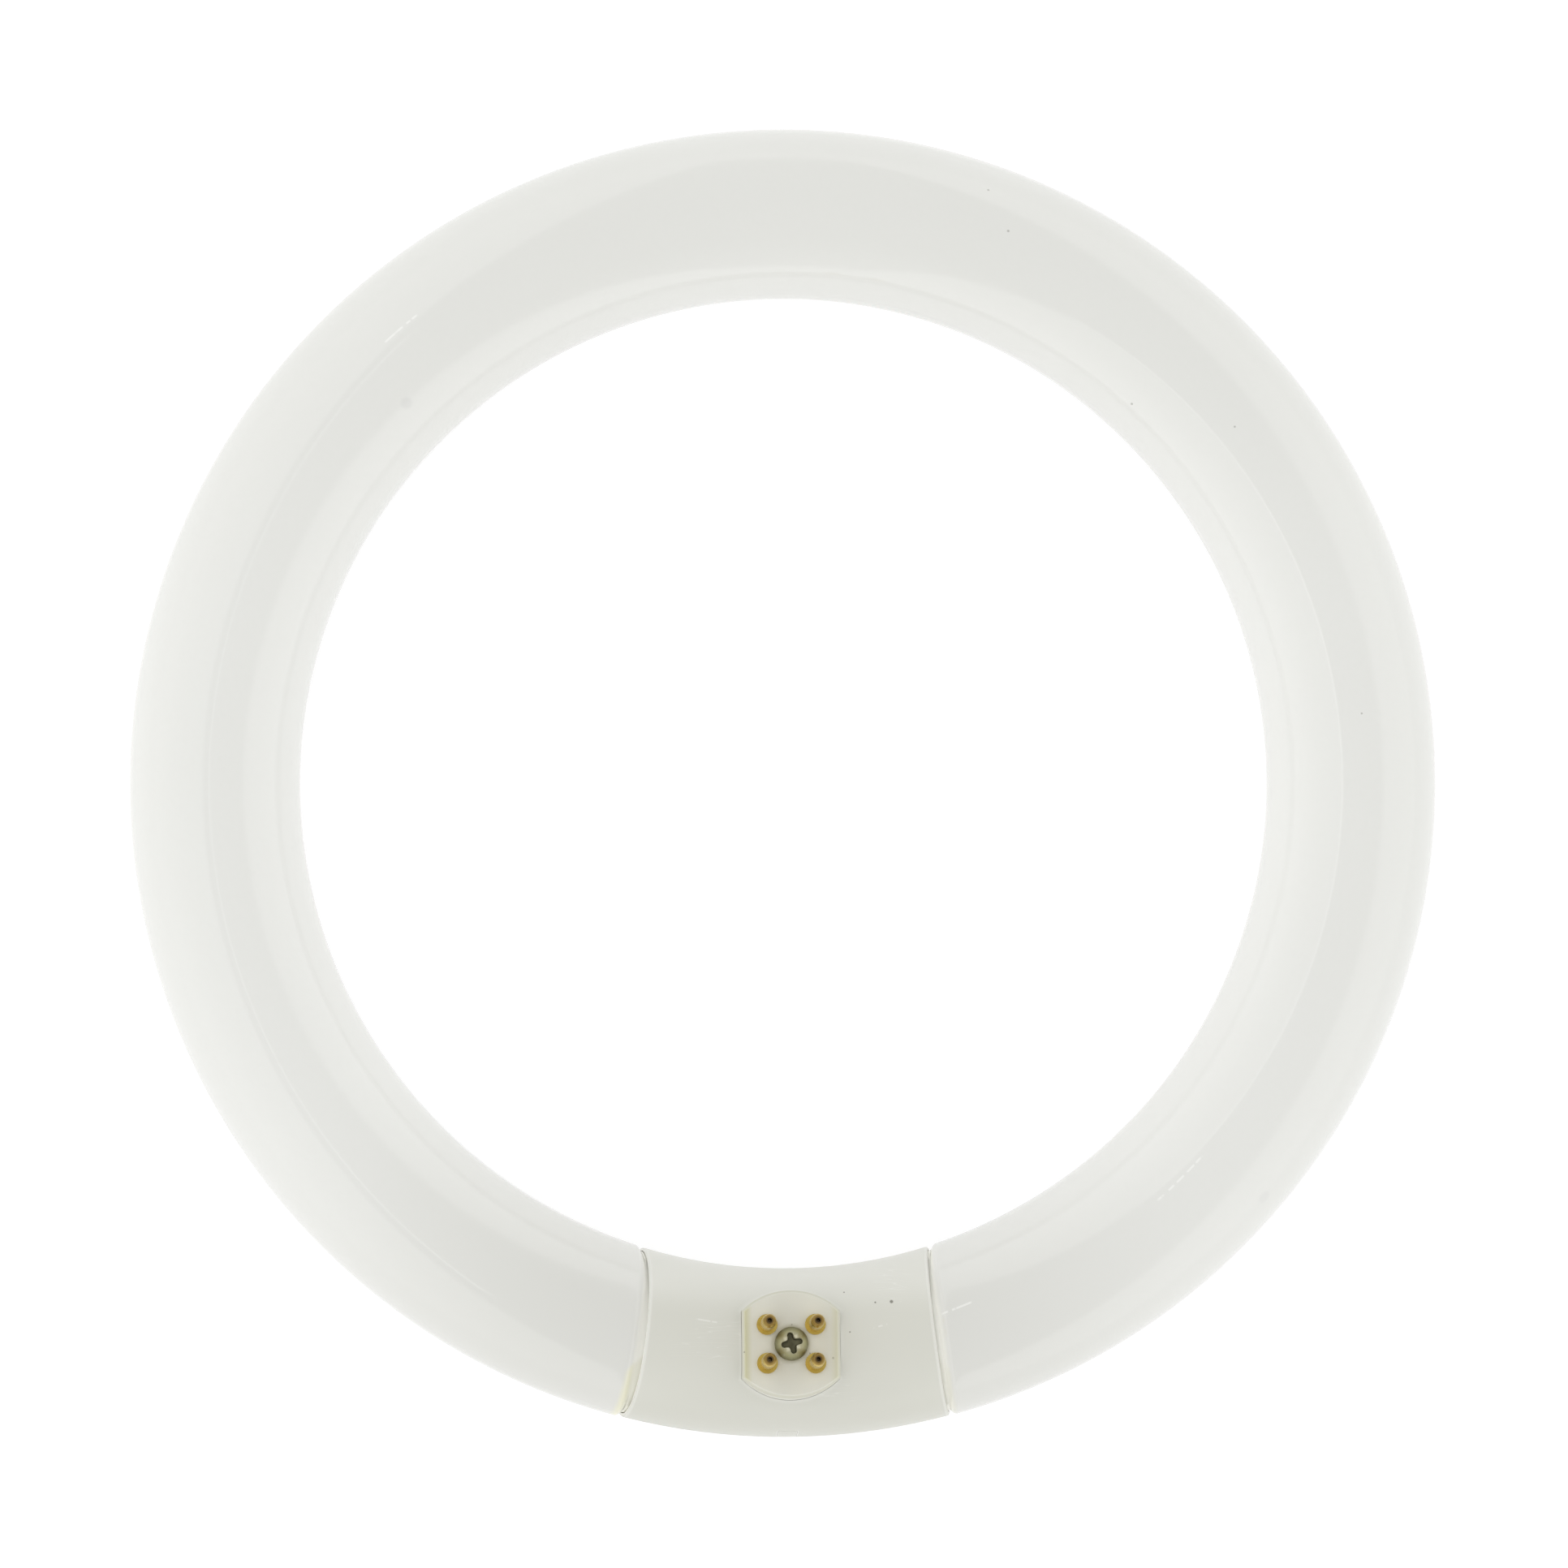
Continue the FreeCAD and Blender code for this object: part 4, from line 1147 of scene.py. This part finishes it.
def make_room(scene, settings):
    """A pale room with a dimmer stretch of ceiling"""
    world = bpy.data.worlds.new("room")
    scene.world = world
    world.use_nodes = True
    world.node_tree.nodes.clear()
    nodes = Nodes(world.node_tree)
    direction = nodes.node("ShaderNodeTexCoord").outputs["Generated"]
    east, _, up = nodes.parts(direction)
    lean = nodes.math("ARCTAN2", east, up)
    edges = [nodes.fade(lean, *map(math.radians, edge)) for edge in (CEILING_WEST, CEILING_EAST)]
    inside = nodes.times(nodes.times(*edges), nodes.fade(up, *CEILING_LOW))
    lift = nodes.plus(nodes.vector("DOT_PRODUCT", direction, WALL_TILT), 1.0)
    walls = nodes.times(lift, settings.wall_light)
    level = nodes.node("ShaderNodeMapRange", inside, 0.0, 1.0, walls, settings.ceiling_light)
    room = nodes.node("ShaderNodeBackground", ROOM_WHITE, level.outputs[0])
    nodes.node("ShaderNodeOutputWorld", room.outputs[0])


# The strip lamp, which faces straight down: its sides and its place, in metres.
STRIP_SIZE = (0.028, 0.9)
STRIP_PLACE = (-0.24, -0.08, 1.0)


def make_strip(scene, radiance):
    """A long thin lamp that glows at a set brightness for its size"""
    light = bpy.data.lights.new("strip", "AREA")
    light.shape = "RECTANGLE"
    light.size, light.size_y = STRIP_SIZE
    light.energy = radiance * math.pi * math.prod(STRIP_SIZE)
    lamp = bpy.data.objects.new("strip", light)
    scene.collection.objects.link(lamp)
    lamp.location = STRIP_PLACE
    lamp.visible_camera = False


# The point in the ring's plane that the camera looks at and how far it sees, in metres, and the
# width of its sensor in millimetres.
AIM = (-0.00023, -0.0001)
CAMERA_SIGHT = 20.0
SENSOR = 36.0


def make_camera(scene, settings):
    camera = bpy.data.objects.new("camera", bpy.data.cameras.new("camera"))
    scene.collection.objects.link(camera)
    target = Vector((*AIM, TUBE * MM))
    place = target + Vector((-settings.camera_side, 0.0, settings.camera_height))
    back = (place - target).normalized()
    side = Vector((0.0, 1.0, 0.0)).cross(back).normalized()
    turn = Matrix((side, back.cross(side), back)).transposed().to_4x4()
    camera.matrix_world = Matrix.Translation(place) @ turn
    camera.data.sensor_width = SENSOR
    camera.data.lens = SENSOR * (place - target).length / settings.frame_width
    camera.data.clip_end = CAMERA_SIGHT
    scene.camera = camera


class LAMP_OT_stage(bpy.types.Operator):
    """Set up the floor, the light and the camera"""

    bl_idname = "lamp.stage"
    bl_label = "Stage"

    def execute(self, context):
        scene = context.scene
        settings = scene.lamp_stage
        scene.view_settings.view_transform = "Standard"
        make_floor(scene)
        make_room(scene, settings)
        make_strip(scene, settings.strip_light)
        make_camera(scene, settings)
        return {"FINISHED"}


class LAMP_PT_panel(bpy.types.Panel):
    """Lists the pieces of the lamp and their settings"""

    bl_idname = "LAMP_PT_panel"
    bl_label = "Circular lamp"
    bl_space_type = "VIEW_3D"
    bl_region_type = "UI"
    bl_category = "Lamp"

    def draw(self, context):
        for operator in OPERATORS:
            self.layout.operator(operator.bl_idname)
        for name, group in SETTINGS.items():
            box = self.layout.box()
            for prop in group.__annotations__:
                box.prop(getattr(context.scene, name), prop)


SETTINGS = {
    "lamp_glass": GlassSettings,
    "lamp_cap": CapSettings,
    "lamp_metal": MetalSettings,
    "lamp_stage": StageSettings,
}
OPERATORS = (
    LAMP_OT_glass,
    LAMP_OT_shells,
    LAMP_OT_insert,
    LAMP_OT_pins,
    LAMP_OT_screw,
    LAMP_OT_leads,
    LAMP_OT_stage,
)


def register():
    for name, group in SETTINGS.items():
        bpy.utils.register_class(group)
        setattr(bpy.types.Scene, name, PointerProperty(type=group))
    for made in (*OPERATORS, LAMP_PT_panel):
        bpy.utils.register_class(made)


def unregister():
    for made in reversed((*OPERATORS, LAMP_PT_panel)):
        bpy.utils.unregister_class(made)
    for name, group in reversed(SETTINGS.items()):
        delattr(bpy.types.Scene, name)
        bpy.utils.unregister_class(group)


def main():
    register()
    bpy.ops.lamp.glass()
    bpy.ops.lamp.shells()
    bpy.ops.lamp.insert()
    bpy.ops.lamp.pins()
    bpy.ops.lamp.screw()
    bpy.ops.lamp.leads()
    bpy.ops.lamp.stage()


if __name__ == "__main__":
    main()
